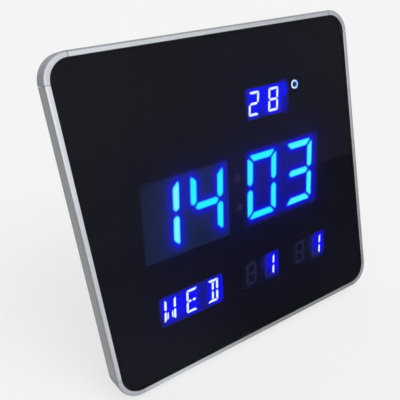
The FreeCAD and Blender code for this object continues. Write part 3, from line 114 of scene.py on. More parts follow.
def round_corners(outline, radius, steps=4):
    """The same convex outline with its corners rounded."""
    rounded = []
    count = len(outline)
    for i in range(count):
        here = outline[i]
        before = outline[i - 1] - here
        after = outline[(i + 1) % count] - here
        long_before, long_after = np.linalg.norm(before), np.linalg.norm(after)
        cosine = np.clip(before @ after / long_before / long_after, -1, 1)
        half = math.acos(cosine) / 2
        cut = min(radius / math.tan(half), CORNER_SHARE * long_before, CORNER_SHARE * long_after)
        start = here + before / long_before * cut
        end = here + after / long_after * cut
        for step in range(steps + 1):
            t = step / steps
            rounded.append((1 - t) ** 2 * start + 2 * t * (1 - t) * here + t * t * end)
    return np.array(rounded)


def distance_outside(points, outline):
    """Signed distance from points to a convex outline, negative inside."""
    nearest = np.full(len(points), np.inf)
    inside = np.full(len(points), True)
    for start, end in zip(outline, np.roll(outline, -1, axis=0)):
        run = end - start
        along = np.clip((points - start) @ run / (run @ run), 0, 1)
        gap = np.linalg.norm(points - start - along[:, None] * run, axis=1)
        nearest = np.minimum(nearest, gap)
        inside &= run[0] * (points[:, 1] - start[1]) - run[1] * (points[:, 0] - start[0]) >= 0
    return np.where(inside, -nearest, nearest)


def smooth(amount):
    """A soft step from 0 to 1."""
    amount = np.clip(amount, 0, 1)
    return amount * amount * (3 - 2 * amount)


def triangulate(outline, points):
    """Triangles that fill an outline through inner points."""
    ring = [tuple(p) for p in outline]
    edges = [(i, (i + 1) % len(ring)) for i in range(len(ring))]
    every = ring + [tuple(p) for p in points]
    corners, _, faces, *_ = delaunay_2d_cdt(every, edges, [], INSIDE_ONLY, FILL_TOLERANCE)
    return np.array([tuple(c) for c in corners]), [list(f) for f in faces]


def level(depth):
    """The same depth at all flat points."""
    return lambda flat: np.full(len(flat), depth)


def thick_sheet(outline, inner, front, back):
    """Vertices and faces of a closed sheet; front and back give the depth at flat points."""
    flat, faces = triangulate(outline, inner)
    count = len(flat)
    depths = np.concatenate([front(flat), back(flat)])
    doubled = np.concatenate([flat, flat])
    vertices = [on_desk(x, depth, z) for (x, z), depth in zip(doubled, depths)]
    edge_use = {}
    for face in faces:
        for a, b in zip(face, face[1:] + face[:1]):
            edge_use[(a, b)] = edge_use.get((a, b), 0) + 1
    rim = [(a, b) for a, b in edge_use if (b, a) not in edge_use]
    polygons = faces + [[i + count for i in reversed(face)] for face in faces]
    polygons += [[b, a, a + count, b + count] for a, b in rim]
    return vertices, polygons, flat


def new_piece(name, vertices, polygons, body="clock_body", attributes=()):
    """A mesh object that rides on a body, with float attributes on its points."""
    mesh = bpy.data.meshes.new(name)
    mesh.from_pydata([tuple(v) for v in vertices], [], polygons)
    mesh.validate()
    shape = bmesh.new()
    shape.from_mesh(mesh)
    bmesh.ops.recalc_face_normals(shape, faces=shape.faces)
    shape.to_mesh(mesh)
    shape.free()
    for title, values in attributes:
        layer = mesh.attributes.new(title, "FLOAT", "POINT")
        layer.data.foreach_set("value", np.asarray(values, np.float32))
    piece = bpy.data.objects.new(name, mesh)
    bpy.context.scene.collection.objects.link(piece)
    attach(piece, body)
    return piece


def join_parts(parts):
    """Several (vertices, polygons, values) as one."""
    vertices, polygons, values = [], [], []
    for part_vertices, part_polygons, part_values in parts:
        base = len(vertices)
        vertices += list(part_vertices)
        polygons += [[i + base for i in polygon] for polygon in part_polygons]
        values += list(part_values)
    return vertices, polygons, values


# Materials

NOISE_LOW = 0.3
NOISE_HIGH = 0.7

# Colours of the light from the edge of a bar to its core, and of the spill from faint to full
LENS_GAIN = 3.0
SMALL_GAIN = 3.05
BIG_STOPS = [
    (0.0, (0.0, 0.08, 1.0)), (0.12, (0.0, 0.32, 1.0)), (0.28, (0.0, 0.76, 1.0)),
    (0.5, (0.0, 0.92, 1.0)), (1.0, (0.01, 0.98, 1.0)),
]
BIG_PALE_STOPS = [
    (0.0, (0.0, 0.10, 1.0)), (0.12, (0.02, 0.42, 1.0)), (0.28, (0.08, 0.85, 1.0)),
    (0.5, (0.18, 0.96, 1.0)), (1.0, (0.25, 1.0, 1.0)),
]
SMALL_STOPS = [
    (0.0, (0.04, 0.06, 0.9)), (0.15, (0.3, 0.36, 1.0)),
    (0.4, (0.74, 0.86, 1.0)), (1.0, (0.80, 0.93, 1.0)),
]
SPILL_STOPS = [(0.0, (0.03, 0.03, 1.0)), (0.3, (0.004, 0.006, 1.0)), (0.9, (0.0, 0.0, 1.0))]


class Nodes:
    """A node tree and the helpers that every tree needs."""

    def __init__(self, tree):
        self.tree = tree

    def add(self, kind, **settings):
        node = self.tree.nodes.new(kind)
        for name, setting in settings.items():
            setattr(node, name, setting)
        return node

    def join(self, source, target):
        self.tree.links.new(source, target)

    def math(self, operation, first, second):
        node = self.add("ShaderNodeMath", operation=operation)
        for socket, source in zip(node.inputs, (first, second)):
            if isinstance(source, (int, float)):
                socket.default_value = source
            else:
                self.join(source, socket)
        return node.outputs[0]


class Recipe(Nodes):
    """A material under construction: its node tree and Principled shader."""

    def __init__(self, name, **settings):
        self.material = bpy.data.materials.new(name)
        self.material.use_nodes = True
        super().__init__(self.material.node_tree)
        self.shader = self.tree.nodes["Principled BSDF"]
        for socket, number in settings.items():
            self.shader.inputs[socket.replace("_", " ")].default_value = number
        self.place = self.add("ShaderNodeTexCoord").outputs["Object"]

    def squeezed(self, scale):
        """Place coordinates along the clock's own axes, scaled per axis."""
        mapping = self.add("ShaderNodeMapping")
        mapping.inputs["Rotation"].default_value = (LEAN, 0, 0)
        mapping.inputs["Scale"].default_value = scale
        self.join(self.place, mapping.inputs["Vector"])
        return mapping.outputs["Vector"]

    def noise(self, scale, detail=2.0, rough=0.5, place=None):
        texture = self.add("ShaderNodeTexNoise")
        texture.inputs["Scale"].default_value = scale
        texture.inputs["Detail"].default_value = detail
        texture.inputs["Roughness"].default_value = rough
        self.join(place or self.place, texture.inputs["Vector"])
        return texture.outputs["Fac"]

    def cells(self, scale):
        texture = self.add("ShaderNodeTexVoronoi")
        texture.inputs["Scale"].default_value = scale
        self.join(self.place, texture.inputs["Vector"])
        return texture.outputs["Distance"]

    def ramp(self, amount, stops):
        """A colour ramp over (position, colour) stops."""
        node = self.add("ShaderNodeValToRGB")
        points = node.color_ramp.elements
        while len(points) < len(stops):
            points.new(0.5)
        for point, (position, colour) in zip(points, stops):
            point.position = position
            point.color = (*colour, 1)
        self.join(amount, node.inputs["Fac"])
        return node.outputs["Color"]

    def tint(self, noise, low, high):
        """A colour between two, over the usual range of a noise."""
        return self.ramp(noise, [(NOISE_LOW, low), (NOISE_HIGH, high)])

    def spread(self, amount, low, high):
        """A 0 to 1 amount stretched between two numbers."""
        node = self.add("ShaderNodeMapRange")
        node.inputs["To Min"].default_value = low
        node.inputs["To Max"].default_value = high
        self.join(amount, node.inputs["Value"])
        return node.outputs["Result"]

    def blend(self, first, second, share):
        """Two amounts added up, the first by its share and the second by the rest."""
        weighed = self.math("MULTIPLY", first, share)
        return self.math("ADD", weighed, self.math("MULTIPLY", second, 1 - share))

    def bump(self, height, strength, distance):
        node = self.add("ShaderNodeBump")
        node.inputs["Strength"].default_value = strength
        node.inputs["Distance"].default_value = distance
        self.join(height, node.inputs["Height"])
        self.join(node.outputs["Normal"], self.shader.inputs["Normal"])

    def mix(self, amount, first, second):
        """A colour between two others."""
        node = self.add("ShaderNodeMix", data_type="RGBA")
        colours = [socket for socket in node.inputs if socket.type == "RGBA"]
        self.join(amount, node.inputs[0])
        self.join(first, colours[0])
        self.join(second, colours[1])
        return next(socket for socket in node.outputs if socket.type == "RGBA")

    def attribute(self, name):
        return self.add("ShaderNodeAttribute", attribute_name=name).outputs["Fac"]

    def colour(self, source):
        self.join(source, self.shader.inputs["Base Color"])

    def roughness(self, amount, low, high):
        self.join(self.spread(amount, low, high), self.shader.inputs["Roughness"])

    def shine(self, colour, strength):
        """Light of its own."""
        self.join(colour, self.shader.inputs["Emission Color"])
        self.shader.inputs["Emission Strength"].default_value = strength


def satin_rail(name, scale):
    """Silver satin finish with fine drawn lines along the rail."""
    recipe = Recipe(name, Metallic=0.85)
    lines = recipe.noise(1.0, detail=3.0, rough=0.6, place=recipe.squeezed(scale))
    clouds = recipe.noise(60.0, detail=3.0)
    tone = recipe.blend(lines, clouds, share=0.6)
    recipe.colour(recipe.tint(tone, (0.37, 0.385, 0.41), (0.45, 0.465, 0.49)))
    recipe.roughness(tone, 0.20, 0.32)
    recipe.bump(lines, strength=0.25, distance=0.02 * MM)
    return recipe.material


def cast_corner():
    """Silver corner pieces: a fine blasted skin, a little duller than the rails."""
    recipe = Recipe("cast_corner", Metallic=0.85)
    grain = recipe.noise(3500.0)
    clouds = recipe.noise(70.0, detail=3.0)
    recipe.colour(recipe.tint(clouds, (0.36, 0.375, 0.40), (0.43, 0.445, 0.47)))
    recipe.roughness(grain, 0.34, 0.46)
    recipe.bump(grain, strength=0.3, distance=0.02 * MM)
    return recipe.material


def smoked_lens():
    """Polished smoked acrylic with faint wipe marks."""
    recipe = Recipe("smoked_lens", IOR=1.15, Transmission_Weight=1.0)
    clouds = recipe.noise(14.0, detail=3.0)
    wipes = recipe.noise(1.0, detail=4.0, rough=0.6, place=recipe.squeezed((25.0, 400.0, 90.0)))
    recipe.colour(recipe.ramp(clouds, [(0.2, (0.30, 0.30, 0.33)), (0.8, (0.33, 0.33, 0.36))]))
    recipe.roughness(wipes, 0.0, 0.04)
    return recipe.material


def black_paint(name, low, high, grain_scale=2500.0, glow=0.0):
    """Dull dark skin with a fine grain; a display face can also get a painted glow, light of its own in
    its own colour that stands in for stray light of the lit bars.
    """
    recipe = Recipe(name, Specular_IOR_Level=0.08)
    grain = recipe.noise(grain_scale)
    clouds = recipe.noise(90.0)
    tone = recipe.tint(clouds, low, high)
    recipe.colour(tone)
    recipe.roughness(grain, 0.7, 0.9)
    if glow:
        recipe.shine(tone, glow)
    return recipe.material


def moulded_plastic(name, low, high, grain=1400.0, depth=0.06, roughness=(0.42, 0.62)):
    """Spark-eroded texture of a moulded housing: small rounded pits under soft clouds."""
    recipe = Recipe(name)
    pits = recipe.cells(grain)
    fine = recipe.noise(grain * 2.4)
    clouds = recipe.noise(45.0, detail=4.0)
    relief = recipe.blend(pits, fine, share=0.7)
    recipe.colour(recipe.tint(clouds, low, high))
    recipe.roughness(relief, *roughness)
    recipe.bump(relief, strength=0.5, distance=depth * MM)
    return recipe.material


def glowing(name, stops, pale_stops, strength):
    """Light pipe: the colour follows the distance from the edge of a bar."""
    recipe = Recipe(name, Roughness=0.4)
    speckle = recipe.noise(500.0)
    wander = recipe.spread(speckle, -0.03, 0.03)
    depth = recipe.math("ADD", recipe.attribute("edge"), wander)
    glow = recipe.mix(recipe.attribute("pale"), recipe.ramp(depth, stops), recipe.ramp(depth, pale_stops))
    recipe.shine(glow, strength)
    recipe.colour(recipe.tint(speckle, (0.02, 0.03, 0.05), (0.03, 0.04, 0.06)))
    return recipe.material


def glow_film():
    """Diffusing film behind the lens: clear, with a painted glow for the spill of the lit bars."""
    recipe = Recipe("glow_film", Roughness=1.0, Specular_IOR_Level=0.0, Base_Color=(0, 0, 0, 1))
    glow = recipe.attribute("glow")
    mottle = recipe.spread(recipe.noise(260.0), 0.94, 1.06)
    recipe.shine(recipe.ramp(glow, SPILL_STOPS), LENS_GAIN)
    recipe.join(recipe.math("MULTIPLY", glow, mottle), recipe.shader.inputs["Alpha"])
    return recipe.material


def board_green():
    """Solder mask with a weave of fibres and faint tracks."""
    recipe = Recipe("circuit_board", Roughness=0.35)
    weave = recipe.noise(1.0, detail=1.0, place=recipe.squeezed((900.0, 900.0, 200.0)))
    tracks = recipe.add("ShaderNodeTexBrick")
    tracks.inputs["Scale"].default_value = 180.0
    tracks.inputs["Mortar Size"].default_value = 0.04
    recipe.join(recipe.squeezed((1.0, 1.0, 1.0)), tracks.inputs["Vector"])
    base = recipe.tint(weave, (0.010, 0.075, 0.035), (0.014, 0.10, 0.045))
    copper = recipe.ramp(weave, [(0.0, (0.02, 0.15, 0.06)), (1.0, (0.03, 0.18, 0.07))])
    recipe.colour(recipe.mix(tracks.outputs["Fac"], base, copper))
    recipe.bump(weave, strength=0.2, distance=0.02 * MM)
    return recipe.material


def metal(name, low, high, roughness):
    """Plain metal with a worn, uneven polish."""
    recipe = Recipe(name, Metallic=1.0)
    scuffs = recipe.noise(900.0, detail=4.0, rough=0.6)
    recipe.colour(recipe.tint(scuffs, low, high))
    recipe.roughness(scuffs, *roughness)
    recipe.bump(scuffs, strength=0.15, distance=0.01 * MM)
    return recipe.material


ALONG_X = (25.0, 4000.0, 4000.0)
ALONG_Z = (4000.0, 4000.0, 25.0)
rail_across = satin_rail("satin_aluminium_across", ALONG_X)
rail_upright = satin_rail("satin_aluminium_upright", ALONG_Z)
corner_skin = cast_corner()
lens_acrylic = smoked_lens()
mask_paint = black_paint("black_mask", (0.004, 0.004, 0.005), (0.007, 0.007, 0.009))
module_dark = black_paint("module_case", (0.010, 0.010, 0.016), (0.014, 0.014, 0.022))
# Painted glow: the hours module case and its unlit segments are tinted blue and glow, standing in for the
# light of the lit hours falling on them.
module_painted_glow = black_paint("module_case_painted_glow", (0.012, 0.034, 0.090), (0.014, 0.039, 0.102), glow=0.5)
# Painted glow: the unlit temperature and weekday segments glow faintly, standing in for stray light of
# their lit bars.
dim_diffuser_painted_glow = black_paint(
    "unlit_diffuser", (0.020, 0.020, 0.028), (0.026, 0.026, 0.034), grain_scale=1500.0, glow=0.3
)
# Painted glow: the unlit month and day segments glow faint blue, standing in for stray light of their lit
# bars; the colon lamps, lamps in their own right, share the same faint glow.
faint_diffuser_painted_glow = black_paint(
    "faint_diffuser_painted_glow", (0.018, 0.018, 0.041), (0.023, 0.023, 0.050), grain_scale=1500.0, glow=1.7
)
cover_plastic = moulded_plastic("black_abs", (0.022, 0.022, 0.023), (0.031, 0.031, 0.032))
leg_plastic = moulded_plastic(
    "black_abs_leg", (0.025, 0.025, 0.026), (0.034, 0.034, 0.035), grain=1700.0, depth=0.05
)
button_skin = moulded_plastic(
    "button_plastic", (0.055, 0.056, 0.058), (0.070, 0.071, 0.073),
    grain=2600.0, depth=0.03, roughness=(0.35, 0.5),
)
rubber = moulded_plastic(
    "black_rubber", (0.018, 0.018, 0.018), (0.028, 0.027, 0.026),
    grain=2200.0, depth=0.08, roughness=(0.7, 0.9),
)
epoxy = moulded_plastic(
    "chip_epoxy", (0.014, 0.014, 0.015), (0.020, 0.020, 0.021),
    grain=3000.0, depth=0.02, roughness=(0.4, 0.55),
)
board_skin = board_green()
zinc = metal("screw_steel", (0.10, 0.10, 0.105), (0.16, 0.16, 0.165), (0.3, 0.45))
nickel = metal("bright_steel", (0.55, 0.55, 0.54), (0.68, 0.68, 0.66), (0.18, 0.32))
brass = metal("brass_pin", (0.60, 0.45, 0.20), (0.72, 0.56, 0.28), (0.2, 0.32))
cyan_light = glowing("lit_cyan", BIG_STOPS, BIG_PALE_STOPS, LENS_GAIN)
white_light = glowing("lit_white", SMALL_STOPS, SMALL_STOPS, SMALL_GAIN)

FINISHES = [
    (rail_across, ["rail_top", "rail_bottom"]),
    (rail_upright, ["rail_left", "rail_right"]),
    (corner_skin, ["corner_top_left", "corner_top_right", "corner_bottom_left", "corner_bottom_right"]),
    (lens_acrylic, ["front_lens"]),
    (mask_paint, ["display_mask"]),
    (module_painted_glow, ["hours_module", "hours_unlit_segments"]),
    (module_dark, ["minutes_module", "minutes_unlit_segments"]),
    (module_dark, ["temperature_module", "month_module", "day_module", "weekday_module"]),
    (dim_diffuser_painted_glow, ["temperature_unlit_segments", "weekday_unlit_segments"]),
    (faint_diffuser_painted_glow, ["month_unlit_segments", "day_unlit_segments", "colon_lamps"]),
    (cover_plastic, ["rear_cover", "dc_jack"]),
    (leg_plastic, ["stand_leg", "battery_door"]),
    (button_skin, ["button_set", "button_up", "button_down", "button_mode"]),
    (rubber, ["stand_foot", "rubber_feet", "wall_bumpers"]),
    (board_skin, ["display_board"]),
    (epoxy, ["microcontroller", "driver_chips", "tact_switches", "buzzer", "temperature_sensor"]),
    (epoxy, ["coin_cell_holder"]),
    (zinc, ["cover_screws"]),
    (nickel, ["board_screws", "dc_jack_nut", "coin_cell", "crystal", "capacitors", "stand_pin"]),
    (brass, ["dc_jack_pin"]),
]
for finish, nodes in FINISHES:
    for node in nodes:
        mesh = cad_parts[node].data
        for index in range(len(mesh.materials)):
            mesh.materials[index] = finish

# Lit bars: domed light pipes with a soft edge

BIG_HALF = 3.25 * MM
SMALL_HALF = 1.15 * MM
PIPE_DEPTH = 2.0 * MM
PIPE_MARGIN = 0.3
LIT_MODULES = {
    "hours": "big",
    "minutes": "big",
    "temperature": "small",
    "month": "spindle",
    "day": "spindle",
    "weekday": "small",
}
# A spindle is a small bar that narrows towards its ends. The light is full at "half" from the
# edge, or at the share "full" of the deepest point, and fades by "dim" over "end" from each end.
SMALL_PIPE = {
    "light": white_light, "slot": "lit_white", "pitch": 0.3 * MM, "round": 0.5 * MM, "dome": 0.2 * MM,
}
PIPES = {
    "big": {
        "light": cyan_light, "slot": "lit_cyan", "pitch": 0.7 * MM, "round": 0.9 * MM, "dome": 0.5 * MM,
        "half": BIG_HALF, "end": 4.0 * MM, "dim": 0.75,
    },
    "small": {**SMALL_PIPE, "full": 0.35, "end": 0.6 * MM, "dim": 0.1},
    "spindle": {**SMALL_PIPE, "full": 0.7, "end": 3.2 * MM, "dim": 0.85},
}
# The first digit of the hours lies further left of their middle than this.
HOURS_TENS = 12 * MM
FIRST_PALE = 0.9
LAST_PALE = 0.3
THIRD_PALE = 0.05
lit_bars = {name: bar_outlines(f"{name}_lit_segments") for name in LIT_MODULES}


def paleness(module, outline):
    """The first and the last digit of the time shine a little paler."""
    right = outline[:, 0].mean()
    every = np.concatenate(lit_bars[module])[:, 0]
    middle = (every.min() + every.max()) / 2
    if module == "hours":
        return FIRST_PALE if right < middle - HOURS_TENS else 0.0
    if module == "minutes":
        return LAST_PALE if right > middle else THIRD_PALE
    return 0.0


def grid_inside(outline, pitch, margin):
    """Grid points inside an outline, no nearer to its edge than the margin."""
    low, high = outline.min(0), outline.max(0)
    across = np.arange(low[0], high[0], pitch)
    along = np.arange(low[1], high[1], pitch)
    points = np.array([(x, z) for x in across for z in along])
    return points[distance_outside(points, outline) < -margin]


def end_fade(points, outline, end):
    """How far the light of a bar reaches: less towards both of its ends."""
    centred = outline - outline.mean(0)
    long_way = np.linalg.svd(centred)[2][0]
    half_length = np.abs(centred @ long_way).max()
    to_end = half_length - np.abs((points - outline.mean(0)) @ long_way)
    return smooth(to_end / end)


def light_pipe(outline, sizes, pale):
    """One bar: a domed front that follows the distance from its edge, walls and a back."""
    shape = round_corners(outline, sizes["round"])
    inner = grid_inside(shape, sizes["pitch"], PIPE_MARGIN * sizes["pitch"])
    if "full" in sizes:
        half = sizes["full"] * -distance_outside(inner, shape).min()
    else:
        half = sizes["half"]

    def inward(flat):
        return np.clip(-distance_outside(flat, shape) / half, 0, 1)

    def front(flat):
        return DIGIT_PLANE - sizes["dome"] * (1 - (1 - inward(flat)) ** 2)

    vertices, polygons, flat = thick_sheet(shape, inner, front, level(DIGIT_PLANE + PIPE_DEPTH))
    depth = inward(flat) * (1 - sizes["dim"] * (1 - end_fade(flat, outline, sizes["end"])))
    values = [(edge, pale) for edge in depth] + [(0.0, pale)] * len(depth)
    return vertices, polygons, values


for module, kind in LIT_MODULES.items():
    pipe = PIPES[kind]
    parts = [light_pipe(bar, pipe, paleness(module, bar)) for bar in lit_bars[module]]
    vertices, polygons, values = join_parts(parts)
    edges, pales = zip(*values)
    shades = [("edge", edges), ("pale", pales)]
    digits = new_piece(f"{module}_digits", vertices, polygons, attributes=shades)
    digits.data.materials.append(pipe["light"])
    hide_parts(f"{module}_lit_segments")

# The diffusing film: a painted glow for the light that spills round the big bars, cut off softly at their
# windows.
# Small modules have a thin sheet of their own at the foot of the window, added only to carry a painted
# glow of their spill.

FILM_GAP = 0.02 * MM
FILM_FRONT = LENS_BACK + FILM_GAP
FILM_BACK = MASK_FRONT - FILM_GAP
FILM_CORNER = 15.2 * MM
FILM_PITCH = 6.0 * MM
FILM_EDGE = 0.5 * MM
FILM_DECIMALS = 5
# Haze: a faint painted glow over the whole film, and more of it near the bars, fading by its reach in
# millimetres
FILM_HAZE = 0.0015
HAZE_NEAR = 0.009
HAZE_REACH = 40.0
BAR_REACHES = [-0.3, 0.1, 0.6, 1.2, 2.0, 3.0, 4.2, 6.0, 8.5, 12.0]
BAR_STEP = 1.6 * MM
BAR_STEP_DOUBLES = 4.0
BAR_EDGE = 0.3
BAR_SOFT = 0.4
# Light crosses the film at a slant, so its spill lies beside the bars behind it.
SPILL_SLANT = np.array((0.9, -0.53)) * MM
# Strength next to a bar, then per module: reach of that part, strength and reach of the rest
SPILL_NEXT = 0.31
SPILL_START = 0.5
BIG_SPILL = {"hours": (3.4, 0.24, 5.6), "minutes": (2.4, 0.36, 12.0)}
SPILL_OUTSIDE = 0.04
OUTSIDE_REACH = 9.0
WINDOW_RIM = 1.5 * MM
WINDOW_RISE = np.array((-0.2, 2.2)) * MM
WINDOW_INSET = 0.7 * MM
WINDOW_SOFT = 6.4 * MM
WINDOW_REACHES = [-2.4, -1.4, -0.4, 0.6, 1.6, 2.6]
WINDOW_STEP = 2.0 * MM
# Leaks: soft spots of painted glow beside the temperature window, by centre and extent in millimetres and
# strength
LEAKS = [((62.6, 213.8), (4.6, 6.5), 0.75), ((61.8, 202.0), (4.2, 9.0), 0.26)]
LEAK_BOX = 1.8
LEAK_POWER = 4
SHEET_FRONT = DIGIT_PLANE - 0.05 * MM
SHEET_BACK = DIGIT_PLANE - 0.02 * MM
SPILL_PITCH = 1.3 * MM
SPILL_FLOOR = 0.006
BLUR_PITCH = 0.7 * MM


class SmallSpill:
    """Spill of a small module: size and shift of its blur, its gain and most, and the box round it.

    The margins are how far the sides of the box lie inside those of the window: left, right, low, high.
    """

    def __init__(self, blur, shift, gain, top, margins, soft):
        self.blur = np.array(blur) * MM
        self.shift = np.array(shift) * MM
        self.gain = gain
        self.top = top
        self.left, self.right, self.low, self.high = np.array(margins) * MM
        self.soft = soft


SMALL_SPILL = {
    "temperature": SmallSpill((4.5, 3.8), (-0.3, 2.0), 1.8, 0.88, (6.0, 1.5, -2.0, 0.5), 6.4),
    "weekday": SmallSpill((4.1, 4.6), (1.2, 2.0), 1.6, 0.91, (4.3, 1.6, -1.8, 1.8), 5.6),
    "month": SmallSpill((4.9, 4.6), (0.8, 4.0), 2.2, 0.94, (-5.0, 2.0, -1.4, 1.6), 6.0),
    "day": SmallSpill((5.1, 4.5), (1.6, 4.6), 2.3, 0.94, (-5.0, 2.2, -1.4, 1.8), 6.0),
}


def window_outline(module):
    """The window of a module in the mask: its front outline, less the hidden rim."""
    outline = front_face(upright(f"{module}_module"))
    (_, low), (_, high) = outline.min(0), outline.max(0)
    top = outline[outline[:, 1] > high - EDGE_TOLERANCE][:, 0]
    bottom = outline[outline[:, 1] < low + EDGE_TOLERANCE][:, 0]
    low, high = low + WINDOW_RIM, high - WINDOW_RIM
    return np.array(
        [
            (bottom.min() + WINDOW_RIM, low), (bottom.max() - WINDOW_RIM, low),
            (top.max() - WINDOW_RIM, high), (top.min() + WINDOW_RIM, high),
        ]
    )


def ring_points(outline, reach, step):
    """Points all round a convex outline at a distance from it."""
    points = []
    count = len(outline)
    for i in range(count):
        start, end = outline[i], outline[(i + 1) % count]
        run = end - start
        length = np.linalg.norm(run)
        out = np.array([run[1], -run[0]]) / length
        for t in np.linspace(0, 1, max(2, math.ceil(length / step)), endpoint=False):
            points.append(start + run * t + out * reach)
        following = outline[(i + 2) % count] - end
        turn = math.atan2(run[0] * following[1] - run[1] * following[0], run @ following)
        for t in np.linspace(0, 1, max(2, math.ceil(turn * reach / step))):
            angle = turn * t
            spin = np.array([[math.cos(angle), -math.sin(angle)], [math.sin(angle), math.cos(angle)]])
            points.append(end + spin @ out * reach)
    return points


def big_spill(away, near, tail, reach):
    """Spill of a big digit at a distance in millimetres from its bars."""
    beside = SPILL_NEXT * np.exp(-((np.maximum(away - SPILL_START, 0) / near) ** 2))
    return beside + tail * np.exp(-np.maximum(away, 0) / reach)


def small_spill(points, module):
    """Spill of a small module: its blurred bars, up to a full blue, inside a box with soft sides."""
    spill = SMALL_SPILL[module]
    sources = np.concatenate([grid_inside(bar, BLUR_PITCH, 0.0) for bar in lit_bars[module]])
    reach = (points[:, None] - spill.shift - sources[None]) / spill.blur
    weight = spill.gain * BLUR_PITCH ** 2 / (2 * SMALL_HALF * math.sqrt(2 * math.pi) * spill.blur[1])
    blurred = weight * np.exp(-0.5 * (reach ** 2).sum(2)).sum(1)
    outline = window_outline(module)
    lower = outline.min(0) + (spill.left, spill.low)
    upper = outline.max(0) - (spill.right, spill.high)
    outside = np.maximum(lower - points, points - upper)
    inside = smooth(0.5 - outside / MM / spill.soft).prod(1)
    return SPILL_FLOOR + spill.top * np.tanh(blurred / spill.top) * inside


def film_glow(points):
    """How strongly the film glows at each point of it."""
    glow = np.full(len(points), FILM_HAZE)
    nearest_bar = np.full(len(points), np.inf)
    behind = points + SPILL_SLANT
    for module in LIT_MODULES:
        nearest = np.min([distance_outside(behind, bar) for bar in lit_bars[module]], axis=0) / MM
        nearest_bar = np.minimum(nearest_bar, nearest)
        if module not in BIG_SPILL:
            continue
        direct = big_spill(nearest, *BIG_SPILL[module])
        window = window_outline(module) + WINDOW_RISE
        inside = smooth(0.5 - (distance_outside(points, window) + WINDOW_INSET) / WINDOW_SOFT)
        outside = SPILL_OUTSIDE * np.exp(-np.maximum(nearest, 0) / OUTSIDE_REACH)
        off_bar = smooth((nearest + BAR_EDGE) / BAR_SOFT)
        glow += (direct * inside + outside * (1 - inside)) * off_bar
    for centre, extent, strength in LEAKS:
        away = np.linalg.norm((points / MM - centre) / extent, axis=1)
        glow += strength * np.exp(-away ** LEAK_POWER)
    glow += HAZE_NEAR * np.exp(-np.maximum(nearest_bar, 0) / HAZE_REACH)
    return np.clip(glow, 0, 1)


def rounded_rectangle(half_width, low, high, radius, steps=8):
    """Anticlockwise outline of a rectangle about X = 0 with round corners."""
    outline = []
    corners = [(1, low, -90), (1, high, 0), (-1, high, 90), (-1, low, 180)]
    for side, height, start in corners:
        centre = (side * (half_width - radius), height + (radius if height == low else -radius))
        for step in range(steps + 1):
            angle = math.radians(start + 90 * step / steps)
            outline.append((centre[0] + radius * math.cos(angle), centre[1] + radius * math.sin(angle)))
    return np.array(outline)


def film_points():
    """Outline and inner points of the film, close round the big bars, their windows and the leaks."""
    sheet = upright("diffuser_film")
    low, high = sheet[:, 2].min() - LOWER_EDGE, sheet[:, 2].max() - LOWER_EDGE
    outline = rounded_rectangle(sheet[:, 0].max(), low, high, FILM_CORNER)
    inner = list(grid_inside(outline, FILM_PITCH, FILM_PITCH / 2))
    for module in BIG_SPILL:
        window = window_outline(module) + WINDOW_RISE
        for reach in WINDOW_REACHES:
            inner += ring_points(window, reach * MM, WINDOW_STEP)
        for bar in lit_bars[module]:
            for reach in BAR_REACHES:
                step = BAR_STEP * (1 + abs(reach) / BAR_STEP_DOUBLES)
                inner += ring_points(bar - SPILL_SLANT, reach * MM, step)
    for centre, extent, _ in LEAKS:
        box = np.array(centre) + LEAK_BOX * np.array(extent) * [(-1, -1), (1, -1), (1, 1), (-1, 1)]
        inner += list(grid_inside(box * MM, SPILL_PITCH, 0.0))
    inner = np.unique(np.round(np.array(inner), FILM_DECIMALS), axis=0)
    return outline, inner[distance_outside(inner, outline) < -FILM_EDGE]


def lit_sheet(name, outline, inner, front, back, glow):
    """A thin closed sheet whose front glows by a function of its points."""
    vertices, polygons, flat = thick_sheet(outline, inner, level(front), level(back))
    values = np.concatenate([glow(flat), np.zeros(len(flat))])
    lit = new_piece(name, vertices, polygons, attributes=[("glow", values)])
    lit.data.materials.append(spill_light)
    return lit


def make_spill(module):
    """A thin sheet round the bars of a small module, at the foot of its window, with a painted glow for
    their spill.
    """
    outline = window_outline(module)
    inner = grid_inside(outline, SPILL_PITCH, SPILL_PITCH / 3)

    def glow(flat):
        return small_spill(flat, module)

    lit_sheet(f"{module}_spill", outline, inner, SHEET_FRONT, SHEET_BACK, glow)


spill_light = glow_film()
film = lit_sheet("glow_film", *film_points(), FILM_FRONT, FILM_BACK, film_glow)
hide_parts("diffuser_film")
for module in SMALL_SPILL:
    make_spill(module)

# Degree ring: a turned light pipe, paler on its left

RING_PROFILE_STEPS = 8
RING_TURN_STEPS = 48
RING_DOME = 0.3 * MM
RING_GAIN = 3.8
RING_STOPS = [(0.0, (0.01, 0.06, 0.5)), (0.3, (0.10, 0.32, 0.8)), (1.0, (0.28, 0.62, 0.95))]
RING_PALE_STOPS = [(0.0, (0.02, 0.10, 0.6)), (0.3, (0.45, 0.62, 0.95)), (1.0, (0.95, 1.0, 1.0))]


def ring_profile(inner, outer, front):
    """Section of the ring: (radius, depth, brightness), over the round front and down to the back."""
    half = (outer - inner) / 2
    profile = []
    for step in range(RING_PROFILE_STEPS + 1):
        angle = math.pi * step / RING_PROFILE_STEPS
        lift = RING_DOME * (1 - math.sin(angle))
        profile.append((inner + half * (1 - math.cos(angle)), front + lift, math.sin(angle)))
    profile.append((outer, front + PIPE_DEPTH, 0.0))
    profile.append((inner, front + PIPE_DEPTH, 0.0))
    return profile


